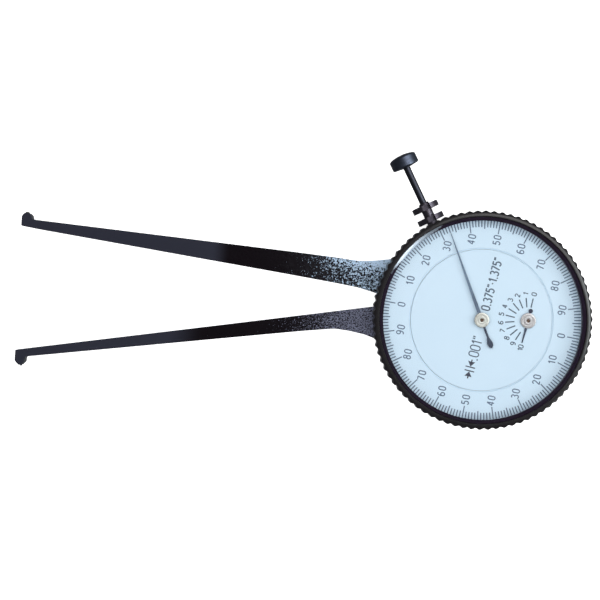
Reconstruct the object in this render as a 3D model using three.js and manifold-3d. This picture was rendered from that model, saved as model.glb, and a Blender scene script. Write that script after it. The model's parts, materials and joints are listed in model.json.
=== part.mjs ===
import * as THREE from 'three';
import { mergeVertices } from 'three/addons/utils/BufferGeometryUtils.js';
import Module from 'manifold-3d';

// Inside dial caliper lying on its back with the dial up, in millimetres.
// The origin is the dial axis on the outer face of the back cover.
// The legs point to -X, the fixed leg on the +Y side and the moving leg on the -Y side.

const wasm = await Module();
wasm.setup();

const degree = Math.PI / 180;

// Clearances
const fixedFit = 0.1;      // round a piece held in its seat
const runningFit = 0.08;   // round a shaft in its bearing
const movingGap = 0.3;     // between pieces that pass each other
const overrun = 1;         // every cut runs this far past the faces it opens
const weldDistance = 1e-5; // corners closer than this are one corner

// Sides of the round pieces
const ringSides = 40;
const roundSides = 16;
const smallSides = 10;

// Case, from the back cover up to the dial
const caseRadius = 22.6;
const caseWall = 1.7;
const coverThickness = 1.4;
const coverChamfer = 0.4;
const legFloorGap = 0.6;        // back cover to the legs
const legThickness = 4;
const legRoofGap = 0.2;         // legs to the web
const webThickness = 1.2;
const trainRoom = 2.6;          // web to the movement plate
const plateThickness = 0.8;
const plateGap = 1.9;           // movement plate to the case wall
const dialStandoff = 1;         // movement plate to the dial
const dialThickness = 0.4;
const caseDialGap = 0.4;        // case rim to the dial

const coverTop = coverThickness;
const legBottom = coverTop + legFloorGap;
const legTop = legBottom + legThickness;
const legMiddle = (legBottom + legTop) / 2;
const webBottom = legTop + legRoofGap;
const webTop = webBottom + webThickness;
const plateBottom = webTop + trainRoom;
const plateTop = plateBottom + plateThickness;
const dialBottom = plateTop + dialStandoff;
const dialTop = dialBottom + dialThickness;
const caseTop = dialBottom - caseDialGap;
const caseInside = caseRadius - caseWall;
const plateRadius = caseInside - plateGap;
const wallMiddle = caseRadius - caseWall / 2;

// Bezel, crystal and dial
const bezelOverhang = 2.2;       // outside the case
const bezelHeight = 8.05;
const bezelSkirt = 3.2;          // from the dial down over the case
const bezelBoreGap = 0.3;        // round the case
const knurlCount = 82;
const knurlDepth = 0.43;
const bezelEdgeChamfer = 0.5;
const bezelCrownWidth = 0.7;     // rounded outer edge of the top
const bezelCrownDrop = 1.15;
const bezelLandWidth = 0.4;      // flat top of the crown
const bezelGrooveWidth = 0.45;
const bezelGrooveDepth = 0.5;
const bezelLipThickness = 1.1;
const bezelLipShare = 0.33;      // upright part of the lip, and of its step to the groove
const windowOverhang = 0.1;      // outside the case
const shoulderWidth = 0.4;       // carries the scale ring
const crystalEdge = 1.1;
const crystalCrown = 0.5;
const crystalHeadroom = 2.1;     // dial to the crystal
const crystalLipGap = 0.1;
const seamShare = 0.7137;        // between the fixed dial disc and the turning scale ring
const seamGap = 0.2;
const dialHoleRadius = 1;
const snapRingWidth = 1;         // across the ring that holds the bezel on the case
const snapRingThickness = 0.7;
const snapRingBite = 0.15;       // how far it reaches into the bezel
const snapRingDrop = 1.4;        // below the case rim
const snapRingOpening = 14 * degree;

const bezelRadius = caseRadius + bezelOverhang;
const windowRadius = caseRadius + windowOverhang;
const seamRadius = windowRadius * seamShare;
const bezelBottom = dialBottom - bezelSkirt;
const bezelTop = bezelBottom + bezelHeight;
const bezelBore = caseRadius + bezelBoreGap;
const bezelSeat = bezelBore + shoulderWidth;
const crystalBottom = dialTop + crystalHeadroom;
const lipBottom = crystalBottom + crystalEdge + crystalLipGap;
const valleyRadius = bezelRadius - knurlDepth;
const snapRingTop = caseTop - snapRingDrop;
const snapRingBottom = snapRingTop - snapRingThickness;
const snapRingOutside = bezelBore + snapRingBite;
const snapRingInside = snapRingOutside - snapRingWidth;
const snapGrooveTop = snapRingTop + movingGap;
const snapGrooveBottom = snapRingBottom - movingGap;
const caseGrooveRadius = snapRingInside - movingGap;
const bezelGrooveRadius = snapRingOutside + movingGap;

// Fixed leg: reach along -X and rise along +Y of its contact.
// Its corners are shares of the length outside the case and of the rise.
const fixedReach = 105.9;
const fixedRise = 17.86;
const fixedTipWidth = 2.35;
const fixedTipOverhang = 1;        // leg's end past the contact
const fixedRootStart = 144.5 * degree;
const fixedRootEnd = 169.5 * degree;
const fixedTopShares = [
  [-0.0216, 0.7089], [0.0229, 0.6719], [0.0672, 0.6501], [0.1237, 0.6741], [0.2353, 0.7021],
  [0.9689, 0.8897]
];
const fixedBottomShares = [
  [0.9689, 0.7861], [0.2353, 0.4093], [0.1237, 0.3483], [0.0672, 0.3124], [0.0285, 0.2676], [0.0109, 0.2464]
];
const fixedTipFootShare = 0.809;
const fixedInsertRadius = 0.6;
const fixedInsertLength = 2.4;
const fixedInsertProud = 0.5;      // above the leg's domed end
const fixedDomeSteps = 5;
const fixedInsertAngles = [30, 60].map((turn) => turn * degree);

// Moving leg: reach and drop of its contact with the legs fully open
const movingReach = 105.1;
const movingDrop = 17.88;
const movingTipWidth = 2.25;
const movingTipOverhang = 1.2;
const movingTopShares = [[-0.0194, -0.1063], [0.023, -0.0789], [0.0424, -0.0576], [0.447, 0.304]];
const movingTipTopShare = 0.802;
const movingTipSideShare = 0.92;
const movingTipNeckShare = 0.871;
const movingBottomShares = [
  [0.9655, 0.859], [0.2257, 0.3048], [0.1421, 0.2494], [0.1249, 0.2427], [0.0867, 0.2578],
  [0.0423, 0.2908], [0.008, 0.3423]
];
const movingRootShares = [-0.0157, 0.3691];
const movingInsertRadius = 0.5;
const movingInsertLength = 2.2;
const movingInsertProud = 0.6;
const movingNoseWidth = 0.9;       // flat end of the tapered tip

// Leg pivot
const pivotShare = 0.813397;       // of the case inside
const pivotY = 0.9;
const pivotPinRadius = 1.5;
const pivotBushWall = 0.8;
const hubWall = 0.9;
const closingAngle = 16.9 * degree;
const slotStart = 169.5 * degree;
const slotGap = 0.2;              // under the root of the moving leg
const slotCorners = 6;

const pivotX = -caseInside * pivotShare;
const slotEnd = Math.PI + Math.asin((movingDrop * movingRootShares[1] + slotGap) / caseInside);
const pivotBushRadius = pivotPinRadius + runningFit + pivotBushWall;
const hubRadius = pivotBushRadius + fixedFit + hubWall;

// Gear train
const pressureAngle = 25 * degree;
const addendumShare = 0.8;
const dedendumShare = 1.05;
const coarseBacklash = 0.1;
const fineBacklash = 0.055;
const counterShare = 0.50646;      // of the case inside
const counterY = 0.555;
const sectorTeeth = 134;          // of the full circle
const counterPinionTeeth = 12;
const counterWheelTeeth = 100;
const centrePinionTeeth = 10;
const hairspringWheelTeeth = 40;
const hairspringAngle = 200 * degree;
const wheelThickness = 0.8;
const wheelLift = 1;              // web to the wheels
const pinionOverlap = 0.2;        // past its wheel, each side
const wheelCrossings = 4;
const crossingRadius = 2;
const crossingShare = 0.58;
const crossingSides = 8;

const sectorThickness = 1.2;
const sectorFloorGap = 0.4;
const sectorRim = 1;
const sectorArmWidth = 2.2;
const tailLength = 7.6;
const tailWidth = 5.4;
const rivetRadius = 0.6;
const rivetReach = 5.4;
const rivetSpread = 1.4;
const leverWidth = 3;
const pushPinRadius = 1;
const postHeadroom = 0.7;         // push pin and spring post, below the top of the leg
const rivetRoof = 1.2;            // rivet end to the top of the leg
const windowCorners = 6;
const springArmShare = 0.6162;     // of the distance from the leg pivot to the counter arbor
const springPostRadius = 0.5;

const counterX = caseInside * counterShare;
const counterDistance = Math.hypot(counterX, counterY);
const counterDirection = Math.atan2(counterY, counterX);
const sectorDistance = Math.hypot(counterX - pivotX, counterY - pivotY);
const meshAngle = Math.atan2(counterY - pivotY, counterX - pivotX);
const coarseModule = 2 * sectorDistance / (sectorTeeth - counterPinionTeeth);
const fineModule = 2 * counterDistance / (counterWheelTeeth + centrePinionTeeth);
const hairspringDistance = fineModule * (centrePinionTeeth + hairspringWheelTeeth) / 2;
const hairspringX = hairspringDistance * Math.cos(hairspringAngle);
const hairspringY = hairspringDistance * Math.sin(hairspringAngle);
const sectorBottom = coverTop + sectorFloorGap;
const sectorTop = sectorBottom + sectorThickness;
const wheelBottom = webTop + wheelLift;
const wheelTop = wheelBottom + wheelThickness;

// Arbors, bushes and hands
const counterArborRadius = 0.8;
const pivotRadius = 0.4;
const bushWall = 0.7;
const pivotEndGap = 0.2;          // arbor end inside its rear bush
const collarWidth = 0.5;
const collarHeight = 0.5;
const smallHandLift = 0.25;       // dial to the small hand
const handThickness = 0.14;
const handGap = 0.25;             // small hub to the main hand
const smallHubRadius = 1.75;
const smallHubHeight = 0.3;
const smallHandLength = 5.2;
const smallHandRoot = 0.7;
const smallHandTip = 0.16;
const smallHandTail = 2.3;
const smallHandBlob = 0.5;
const smallHandAngle = 258.7 * degree;
const mainHubRadius = 1.62;
const mainHubHeight = 0.5;
const mainHandGap = 1.4;          // tip to the window's edge
const mainHandRoot = 0.9;
const mainHandTip = 0.16;
const mainHandTail = 6.4;
const mainHandTailWidth = 1.1;
const mainHandWaist = 0.5;
const mainHandAngle = 113.5 * degree;
const arborEndProud = 0.12;
const hubChamfer = 0.12;

const mainHandLength = windowRadius - mainHandGap;
const smallHandBottom = dialTop + smallHandLift;
const smallHandTop = smallHandBottom + handThickness;
const smallHubTop = smallHandTop + smallHubHeight;
const mainHandBottom = smallHubTop + handGap;
const mainHandTop = mainHandBottom + handThickness;
const mainHubTop = mainHandTop + mainHubHeight;

// Pillars, screws and pins
const pillarGap = 2.8;            // pillar axis to the edge of the movement plate
const pillarAngles = [60, 165, 285].map((turn) => turn * degree);
const pillarRadius = 1.3;
const plateScrewRadius = 0.5;
const plateScrewHead = 1;
const plateScrewHeadHeight = 0.55;
const plateScrewBite = 0.9;       // into the web
const coverScrewGap = 1.7;        // screw axis to the case wall
const coverScrewAngles = [80, 150, 235, 325].map((turn) => turn * degree);
const coverScrewRadius = 0.6;
const coverScrewHead = 1.5;
const coverScrewHeadHeight = 0.8;
const coverScrewSink = 0.1;       // head below the cover's face
const coverScrewLength = 3.4;
const coverBossWall = 0.9;
const slotWidth = 0.35;
const slotDepth = 0.3;
const stopRadius = 0.9;
const stopBite = 0.9;             // into the web
const openStopShare = 0.4169;     // of the distance from the leg pivot to the counter arbor
const closeStopShare = 0.5437;
const framePostGap = 3.59;        // post axis to the case wall
const framePostAngle = 92 * degree;
const dialFootRadius = 0.6;
const dialFootShare = 0.6316;     // of the movement plate's radius
const dialFootAngles = [135, 315].map((turn) => turn * degree);
const dialFootLift = 0.1;

const pillarCircle = plateRadius - pillarGap;
const coverScrewCircle = caseInside - coverScrewGap;
const framePostX = (caseInside - framePostGap) * Math.cos(framePostAngle);
const framePostY = (caseInside - framePostGap) * Math.sin(framePostAngle);
const dialFootCircle = plateRadius * dialFootShare;

// Plunger that closes the legs, along a radius of the dial
const plungerAngle = 119 * degree;
const stemRadius = 0.82;
const knobRadius = 3.2;
const knobSide = 2;
const knobDome = 0.85;
const knobCone = 0.3;
const knobDomeAngles = [30, 60].map((turn) => turn * degree);
const knobStandoff = 11.22;       // lock nut to the knob
const knobGrip = 1.1;             // stem inside the knob
const guideWall = 0.32;
const guideInset = 1.3;           // inside the case wall
const guideReach = 7.2;           // outside the case
const flangeRadius = 3.05;
const flangeThickness = 1.3;
const flangeStandoff = 0.31;      // bezel to the flange
const nutStandoff = 2.92;         // flange to the lock nut
const notchWidth = 1.9;
const guideBossWall = 1.1;
const guideBossReach = 1.7;       // outside the case
const clipRadius = 1.5;
const clipThickness = 0.7;
const clipGrooveDepth = 0.2;
const plungerTouch = 0.15;        // stem end to the push pin

const guideStart = caseInside - guideInset;
const guideEnd = caseRadius + guideReach;
const guideBossEnd = caseRadius + guideBossReach;
const flangePlace = bezelRadius + flangeStandoff;
const nutPlace = flangePlace + nutStandoff;
const knobPlace = nutPlace + knobStandoff;
const guideBore = stemRadius + runningFit;
const guideRadius = guideBore + guideWall;

// Plunger line seen from the leg pivot: its foot and its distance
const outward = new THREE.Vector2(Math.cos(plungerAngle), Math.sin(plungerAngle));
const pivotPoint = new THREE.Vector2(pivotX, pivotY);
const footPlace = pivotPoint.dot(outward);
const leverArm = Math.sqrt(pivotPoint.lengthSq() - footPlace * footPlace);
const plungerTravel = leverArm * closingAngle;
const halfStroke = leverArm * Math.tan(closingAngle / 2);
const pushPinPlace = footPlace + halfStroke;
const pushPinX = outward.x * pushPinPlace;
const pushPinY = outward.y * pushPinPlace;
const leverReach = Math.hypot(pushPinX - pivotX, pushPinY - pivotY);
const leverAngle = Math.atan2(pushPinY - pivotY, pushPinX - pivotX);
const stemStart = pushPinPlace + pushPinRadius + plungerTouch;

// Springs
const legSpringWire = 0.35;
const legSpringRadius = 0.95;
const legSpringCurls = 7;
const legSpringEnd = 0.9;         // straight end at each post
const legSpringLift = 1.5;        // spring axis above the sector
const curlSteps = 8;
const curlSides = 5;
const hairspringTurns = 4;
const hairspringStart = 0.5;      // pitches outside the collet
const hairspringPitch = 0.55;
const hairspringStrip = 0.12;
const hairspringHeight = 0.5;
const hairspringSteps = 12;       // each turn
const colletRadius = 0.9;
const studRadius = 0.35;
const studAngle = 290 * degree;   // seen from the hairspring's axis

// Colours and finishes
const finishes = {
  blackPaint: { color: 0x24232c, roughness: 0.42, metalness: 0.3 },
  blackSteel: { color: 0x2b2a2d, roughness: 0.4, metalness: 0.7 },
  brightSteel: { color: 0xc9ccd0, roughness: 0.25, metalness: 1 },
  brass: { color: 0xc8a04e, roughness: 0.3, metalness: 1 },
  blueSteel: { color: 0x35404f, roughness: 0.35, metalness: 0.8 },
  dialBlue: { color: 0xcbe2f5, roughness: 0.5, metalness: 0.1 },
  glass: { color: 0xf4fafc, roughness: 0.05, metalness: 0 },
  carbide: { color: 0xb9b4a6, roughness: 0.2, metalness: 0.9 }
};

// Solids from closed geometries
function toSolid(geometry) {
  const bare = geometry.clone();
  bare.deleteAttribute('normal');
  bare.deleteAttribute('uv');
  const merged = mergeVertices(bare, weldDistance);
  const index = Array.from(merged.index.array);
  const kept = [];
  for (let i = 0; i < index.length; i += 3) {
    const [a, b, c] = index.slice(i, i + 3);
    if (a !== b && b !== c && c !== a) kept.push(a, b, c);
  }
  const mesh = {
    numProp: 3, vertProperties: merged.attributes.position.array, triVerts: new Uint32Array(kept)
  };
  const solid = new wasm.Manifold(new wasm.Mesh(mesh));
  if (solid.volume() > 0) return solid;
  mesh.triVerts = mesh.triVerts.reverse();
  return new wasm.Manifold(new wasm.Mesh(mesh));
}

function toGeometry(solid) {
  const mesh = solid.getMesh();
  const geometry = new THREE.BufferGeometry();
  geometry.setAttribute('position', new THREE.BufferAttribute(mesh.vertProperties, 3));
  geometry.setIndex(new THREE.BufferAttribute(mesh.triVerts, 1));
  geometry.computeVertexNormals();
  return geometry;
}

const joined = (first, ...rest) => rest.reduce((whole, piece) => whole.add(piece), first);
const cut = (first, ...rest) => rest.reduce((whole, piece) => whole.subtract(piece), first);
const polar = (radius, angle, x = 0, y = 0) => [x + radius * Math.cos(angle), y + radius * Math.sin(angle)];
const outline = (points) => new THREE.Shape(points.map(([x, y]) => new THREE.Vector2(x, y)));

// A profile of radius and height turned about Z
function turned(profile, segments = roundSides) {
  const points = profile.map(([radius, height]) => new THREE.Vector2(radius, height));
  return toSolid(new THREE.LatheGeometry(points, segments).rotateX(Math.PI / 2));
}

function disc(radius, bottom, top, segments = roundSides, x = 0, y = 0) {
  return turned([[0, bottom], [radius, bottom], [radius, top], [0, top]], segments).translate([x, y, 0]);
}

function tube(inside, outside, bottom, top, segments = roundSides, x = 0, y = 0) {
  const profile = [[inside, bottom], [outside, bottom], [outside, top], [inside, top], [inside, bottom]];
  return turned(profile, segments).translate([x, y, 0]);
}

function prism(shape, bottom, top, curveSegments = smallSides) {
  const options = { depth: top - bottom, bevelEnabled: false, curveSegments };
  const geometry = new THREE.ExtrudeGeometry(shape, options);
  return toSolid(geometry.translate(0, 0, bottom));
}

// A round rod between two points
function rod(radius, start, end, segments = roundSides) {
  const from = new THREE.Vector3(...start);
  const to = new THREE.Vector3(...end);
  const geometry = new THREE.CylinderGeometry(radius, radius, from.distanceTo(to), segments);
  const axis = to.clone().sub(from).normalize();
  const turn = new THREE.Quaternion().setFromUnitVectors(new THREE.Vector3(0, 1, 0), axis);
  geometry.applyQuaternion(turn);
  const middle = from.add(to).multiplyScalar(0.5);
  return toSolid(geometry.translate(middle.x, middle.y, middle.z));
}

// A flat bar from a point along an angle
function bar(x, y, angle, length, width) {
  const side = new THREE.Vector2(-Math.sin(angle), Math.cos(angle)).multiplyScalar(width / 2);
  const [endX, endY] = polar(length, angle, x, y);
  return outline([
    [x + side.x, y + side.y], [x - side.x, y - side.y],
    [endX - side.x, endY - side.y], [endX + side.x, endY + side.y]
  ]);
}

const group = new THREE.Group();

function add(name, solid, finish, place = {}) {
  const geometry = solid.isBufferGeometry ? solid : toGeometry(solid);
  const mesh = new THREE.Mesh(geometry, new THREE.MeshStandardMaterial(finish));
  mesh.name = name;
  if (place.position) mesh.position.set(...place.position);
  if (place.rotation) mesh.rotation.set(...place.rotation);
  (place.parent ?? group).add(mesh);
  return mesh;
}

// Involute teeth: half the angle that a tooth fills at a radius
function halfTooth(gear, radius) {
  const pitchRadius = gear.module * gear.teeth / 2;
  const base = pitchRadius * Math.cos(pressureAngle);
  const involute = (at) => {
    const angle = Math.acos(Math.min(1, base / at));
    return Math.tan(angle) - angle;
  };
  const atPitch = Math.PI / (2 * gear.teeth) - gear.backlash / (gear.module * gear.teeth);
  return atPitch + involute(pitchRadius) - involute(Math.max(radius, base));
}

function toothPoints(gear, radii, centre, x, y) {
  const rising = radii.map((radius) => polar(radius, centre - halfTooth(gear, radius), x, y));
  const falling = [...radii].reverse().map((radius) => polar(radius, centre + halfTooth(gear, radius), x, y));
  return [...rising, ...falling];
}

function toothRadii(gear, fine) {
  const pitchRadius = gear.module * gear.teeth / 2;
  const root = pitchRadius - dedendumShare * gear.module;
  const base = pitchRadius * Math.cos(pressureAngle);
  const tip = pitchRadius + addendumShare * gear.module;
  return fine ? [Math.max(root, base - gear.backlash), pitchRadius, tip] : [root, tip];
}

function gearSolid(gear, bottom, top, fine) {
  const points = [];
  const radii = toothRadii(gear, fine);
  for (let tooth = 0; tooth < gear.teeth; tooth++) {
    points.push(...toothPoints(gear, radii, gear.phase + tooth * 2 * Math.PI / gear.teeth, 0, 0));
  }
  return prism(outline(points), bottom, top);
}

const tipRadius = (gear) => gear.module * (gear.teeth / 2 + addendumShare);

// Phases: the sector drives the counter pinion, and the counter wheel drives the centre pinion
const counterPinion = {
  teeth: counterPinionTeeth, module: coarseModule, backlash: coarseBacklash, phase: meshAngle
};
const counterWheel = {
  teeth: counterWheelTeeth, module: fineModule, backlash: fineBacklash, phase: counterDirection + Math.PI
};
const centrePinion = {
  teeth: centrePinionTeeth, module: fineModule, backlash: fineBacklash,
  phase: counterDirection + Math.PI / centrePinionTeeth
};
const centrePitch = 2 * Math.PI / centrePinionTeeth;
const pinionLead = (centrePinion.phase - hairspringAngle) % centrePitch;
const hairspringWheel = {
  teeth: hairspringWheelTeeth, module: fineModule, backlash: fineBacklash,
  phase: hairspringAngle + Math.PI + Math.PI / hairspringWheelTeeth
    - pinionLead * centrePinionTeeth / hairspringWheelTeeth
};

// Lathe-turned screws: the head's outer face at height zero, the shank along +Z
function screw(radius, head, headHeight, length) {
  const body = turned([
    [0, 0], [head, 0], [head, headHeight], [radius, headHeight], [radius, length], [0, length]
  ], roundSides);
  const slot = new THREE.BoxGeometry(2 * (head + overrun), slotWidth, 2 * slotDepth);
  return cut(body, toSolid(slot));
}

// Body frame: case, web and fixed leg in one casting
function fixedLegOutline() {
  const scaled = ([alongShare, riseShare]) => [
    -caseRadius - (fixedReach - caseRadius) * alongShare, fixedRise * riseShare
  ];
  const endX = -fixedReach - fixedTipOverhang;
  const domeRadius = fixedTipWidth / 2;
  const domeX = endX + domeRadius;
  const domeY = fixedRise - fixedInsertProud - domeRadius;
  const dome = [];
  for (let step = 0; step <= fixedDomeSteps; step++) {
    dome.push(polar(domeRadius, Math.PI * step / fixedDomeSteps, domeX, domeY));
  }
  return outline([
    polar(wallMiddle, fixedRootStart),
    ...fixedTopShares.map(scaled),
    ...dome,
    [endX, fixedRise * fixedTipFootShare],
    ...fixedBottomShares.map(scaled),
    polar(wallMiddle, fixedRootEnd)
  ]);
}

function legSlotOutline() {
  const points = [polar(caseInside - overrun, slotStart)];
  for (let corner = 0; corner <= slotCorners; corner++) {
    points.push(polar(caseRadius + overrun, slotStart + (slotEnd - slotStart) * corner / slotCorners));
  }
  points.push(polar(caseInside - overrun, slotEnd));
  return outline(points);
}

const fixedContactX = -fixedReach;
const fixedInsertBase = fixedRise - fixedInsertLength;
const radialPoint = (distance, height) => [...polar(distance, plungerAngle), height];

function bodyFrame() {
  const shell = turned([
    [0, webBottom], [caseInside, webBottom], [caseInside, coverTop], [caseRadius, coverTop],
    [caseRadius, snapGrooveBottom], [caseGrooveRadius, snapGrooveBottom],
    [caseGrooveRadius, snapGrooveTop], [caseRadius, snapGrooveTop],
    [caseRadius, caseTop], [caseInside, caseTop], [caseInside, webTop], [0, webTop]
  ], ringSides);
  const slot = prism(legSlotOutline(), coverTop - overrun, webBottom);
  const leg = cut(prism(fixedLegOutline(), legBottom, legTop), disc(caseInside, 0, webBottom, ringSides));
  let frame = cut(shell, slot).add(leg);
  for (const angle of coverScrewAngles) {
    const [x, y] = polar(coverScrewCircle, angle);
    const bossRadius = coverScrewRadius + fixedFit + coverBossWall;
    frame = frame.add(disc(bossRadius, coverTop, webBottom, roundSides, x, y));
  }
  const boss = rod(guideRadius + guideBossWall, radialPoint(guideStart, legMiddle),
    radialPoint(guideBossEnd, legMiddle));
  frame = frame.add(boss);
  const webHole = (radius, x, y, segments = smallSides) =>
    disc(radius + fixedFit, webBottom - overrun, webTop + overrun, segments, x, y);
  const screwDepth = coverScrewSink + coverScrewLength + movingGap;
  const holes = [
    rod(guideRadius + fixedFit, radialPoint(guideStart - overrun, legMiddle),
      radialPoint(guideBossEnd + overrun, legMiddle)),
    rod(fixedInsertRadius + fixedFit, [fixedContactX, fixedInsertBase, legMiddle],
      [fixedContactX, fixedRise + overrun, legMiddle], smallSides),
    webHole(pivotPinRadius, pivotX, pivotY, roundSides),
    ...arborSeats.map(([x, y, radius]) => webHole(radius + runningFit + bushWall, x, y)),
    ...[openStop, closeStop].map(([x, y]) => webHole(stopRadius, x, y)),
    webHole(springPostRadius, framePostX, framePostY),
    ...pillarAngles.map((angle) => webHole(plateScrewRadius, ...polar(pillarCircle, angle))),
    ...coverScrewAngles.map((angle) => disc(coverScrewRadius + fixedFit, coverTop - overrun, screwDepth,
      smallSides, ...polar(coverScrewCircle, angle)))
  ];
  return cut(frame, ...holes);
}

// Window in the sector plate, from the tooth spaces down to the counter pinion's far side
const pinionRoom = tipRadius(counterPinion) + movingGap;
const windowInside = sectorDistance - pinionRoom;
const windowSide = Math.asin(pinionRoom / sectorDistance);
const windowStart = meshAngle - windowSide;
const windowEnd = meshAngle + closingAngle + windowSide;
const sectorPitch = 2 * Math.PI / sectorTeeth;
const sectorSpace = { teeth: sectorTeeth, module: coarseModule, backlash: -coarseBacklash };
const sectorPitchRadius = coarseModule * sectorTeeth / 2;
const sectorTip = sectorPitchRadius - addendumShare * coarseModule;
const sectorRoot = sectorPitchRadius + dedendumShare * coarseModule;
const lowerArmAngle = windowStart - Math.asin(sectorArmWidth / 2 / windowInside);
const upperArmAngle = windowEnd + Math.asin(sectorArmWidth / 2 / windowInside);
const tailAngle = (lowerArmAngle + upperArmAngle) / 2;

// Stops beside the lever and beside the lower arm, and the bearings' places
const openStop = polar(leverWidth / 2 + movingGap + stopRadius, leverAngle + Math.PI / 2,
  ...polar(sectorDistance * openStopShare, leverAngle, pivotX, pivotY));
const closedArmAngle = lowerArmAngle - closingAngle;
const closeStop = polar(sectorArmWidth / 2 + movingGap + stopRadius, closedArmAngle - Math.PI / 2,
  ...polar(sectorDistance * closeStopShare, closedArmAngle, pivotX, pivotY));
const arborSeats = [
  [0, 0, pivotRadius],
  [counterX, counterY, counterArborRadius],
  [hairspringX, hairspringY, pivotRadius]
];

add('body_frame', bodyFrame(), finishes.blackPaint);
const fixedDomeStart = fixedInsertLength - fixedInsertRadius;
add('fixed_contact', turned([
  [0, 0], [fixedInsertRadius, 0], [fixedInsertRadius, fixedDomeStart],
  ...fixedInsertAngles.map((angle) => polar(fixedInsertRadius, angle, 0, fixedDomeStart)),
  [0, fixedInsertLength]
], smallSides), finishes.carbide, {
  position: [fixedContactX, fixedInsertBase, legMiddle],
  rotation: [-Math.PI / 2, 0, 0]
});

// Back cover and its screws
const coverHoles = coverScrewAngles.flatMap((angle) => {
  const [x, y] = polar(coverScrewCircle, angle);
  return [
    disc(coverScrewRadius + fixedFit, -overrun, coverTop + overrun, smallSides, x, y),
    disc(coverScrewHead + fixedFit, -overrun, coverScrewSink + coverScrewHeadHeight, roundSides, x, y)
  ];
});
add('back_cover', cut(turned([
  [0, 0], [caseRadius - coverChamfer, 0], [caseRadius, coverChamfer], [caseRadius, coverTop], [0, coverTop]
], ringSides), ...coverHoles), finishes.blackPaint);
coverScrewAngles.forEach((angle, index) => {
  const coverScrew = screw(coverScrewRadius, coverScrewHead, coverScrewHeadHeight, coverScrewLength);
  add(`back_cover_screw_${index + 1}`, coverScrew, finishes.blackSteel, {
    position: [...polar(coverScrewCircle, angle), coverScrewSink],
    rotation: [0, 0, angle]
  });
});

// Pins that stand in the web
add('leg_pivot_pin', disc(pivotPinRadius, coverTop, webTop), finishes.brightSteel, {
  position: [pivotX, pivotY, 0]
});
[['leg_open_stop', openStop], ['leg_close_stop', closeStop]].forEach(([name, [x, y]]) => {
  const stop = disc(stopRadius, sectorBottom, webBottom + stopBite, smallSides);
  add(name, stop, finishes.brightSteel, { position: [x, y, 0] });
});
const framePost = disc(springPostRadius, sectorTop, webBottom + stopBite, smallSides);
add('frame_spring_post', framePost, finishes.brightSteel, { position: [framePostX, framePostY, 0] });

// Movement plate on three pillars
const plateHole = (radius, [x, y]) =>
  disc(radius + fixedFit, plateBottom - overrun, plateTop + overrun, smallSides, x, y);
const hairspringMiddle = colletRadius + hairspringPitch * (hairspringTurns + hairspringStart);
const hairspringEnd = hairspringMiddle + hairspringStrip / 2;
const studPlace = polar(hairspringEnd + fixedFit + studRadius, studAngle, hairspringX, hairspringY);
const plateHoles = [
  ...arborSeats.map((seat) => plateHole(pivotRadius + runningFit + bushWall, seat)),
  ...pillarAngles.map((angle) => plateHole(plateScrewRadius, polar(pillarCircle, angle))),
  ...dialFootAngles.map((angle) => plateHole(dialFootRadius, polar(dialFootCircle, angle))),
  plateHole(studRadius, studPlace)
];
const movementPlate = cut(disc(plateRadius, plateBottom, plateTop, ringSides), ...plateHoles);
add('movement_plate', movementPlate, finishes.brass);
pillarAngles.forEach((angle, index) => {
  const pillar = tube(plateScrewRadius + fixedFit, pillarRadius, webTop, plateBottom, smallSides);
  add(`plate_pillar_${index + 1}`, pillar, finishes.brass, { position: [...polar(pillarCircle, angle), 0] });
  const plateScrew = screw(plateScrewRadius, plateScrewHead, plateScrewHeadHeight,
    plateScrewHeadHeight + plateThickness + trainRoom + plateScrewBite);
  add(`plate_screw_${index + 1}`, plateScrew, finishes.brightSteel, {
    position: [...polar(pillarCircle, angle), plateTop + plateScrewHeadHeight],
    rotation: [Math.PI, 0, angle]
  });
});

// Bushes
['centre', 'counter', 'hairspring'].forEach((arbor, index) => {
  const [x, y, radius] = arborSeats[index];
  const rearBore = radius + runningFit;
  const frontBore = pivotRadius + runningFit;
  const rearBush = tube(rearBore, rearBore + bushWall, webBottom, webTop, smallSides);
  const frontBush = tube(frontBore, frontBore + bushWall, plateBottom, plateTop, smallSides);
  add(`${arbor}_bush_rear`, rearBush, finishes.brass, { position: [x, y, 0] });
  add(`${arbor}_bush_front`, frontBush, finishes.brass, { position: [x, y, 0] });
});

// Moving leg
function movingLegOutline() {
  const scaled = ([alongShare, dropShare]) => [
    -caseRadius - (movingReach - caseRadius) * alongShare, -movingDrop * dropShare
  ];
  const endX = -movingReach - movingTipOverhang;
  const innerX = endX + movingTipWidth;
  const noseY = -movingDrop + movingInsertProud;
  return outline([
    [pivotX, pivotY + hubRadius],
    ...movingTopShares.map(scaled),
    [endX, -movingDrop * movingTipTopShare],
    [endX, -movingDrop * movingTipSideShare],
    [-movingReach - movingNoseWidth / 2, noseY],
    [-movingReach + movingNoseWidth / 2, noseY],
    [innerX, -movingDrop * movingTipSideShare],
    [innerX, -movingDrop * movingTipNeckShare],
    ...movingBottomShares.map(scaled),
    scaled(movingRootShares),
    [pivotX, pivotY - hubRadius]
  ]);
}

const movingInsertBase = -movingDrop + movingInsertLength;
const rivetPlaces = [1, -1].map((side) => polar(side * rivetSpread, tailAngle + Math.PI / 2,
  ...polar(rivetReach, tailAngle, pivotX, pivotY)));
const tail = bar(pivotX, pivotY, tailAngle, tailLength, tailWidth);
const rivetTop = legTop - rivetRoof;
const rivetHoles = (bottom, top) =>
  rivetPlaces.map(([x, y]) => disc(rivetRadius + fixedFit, bottom, top, smallSides, x, y));

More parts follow.
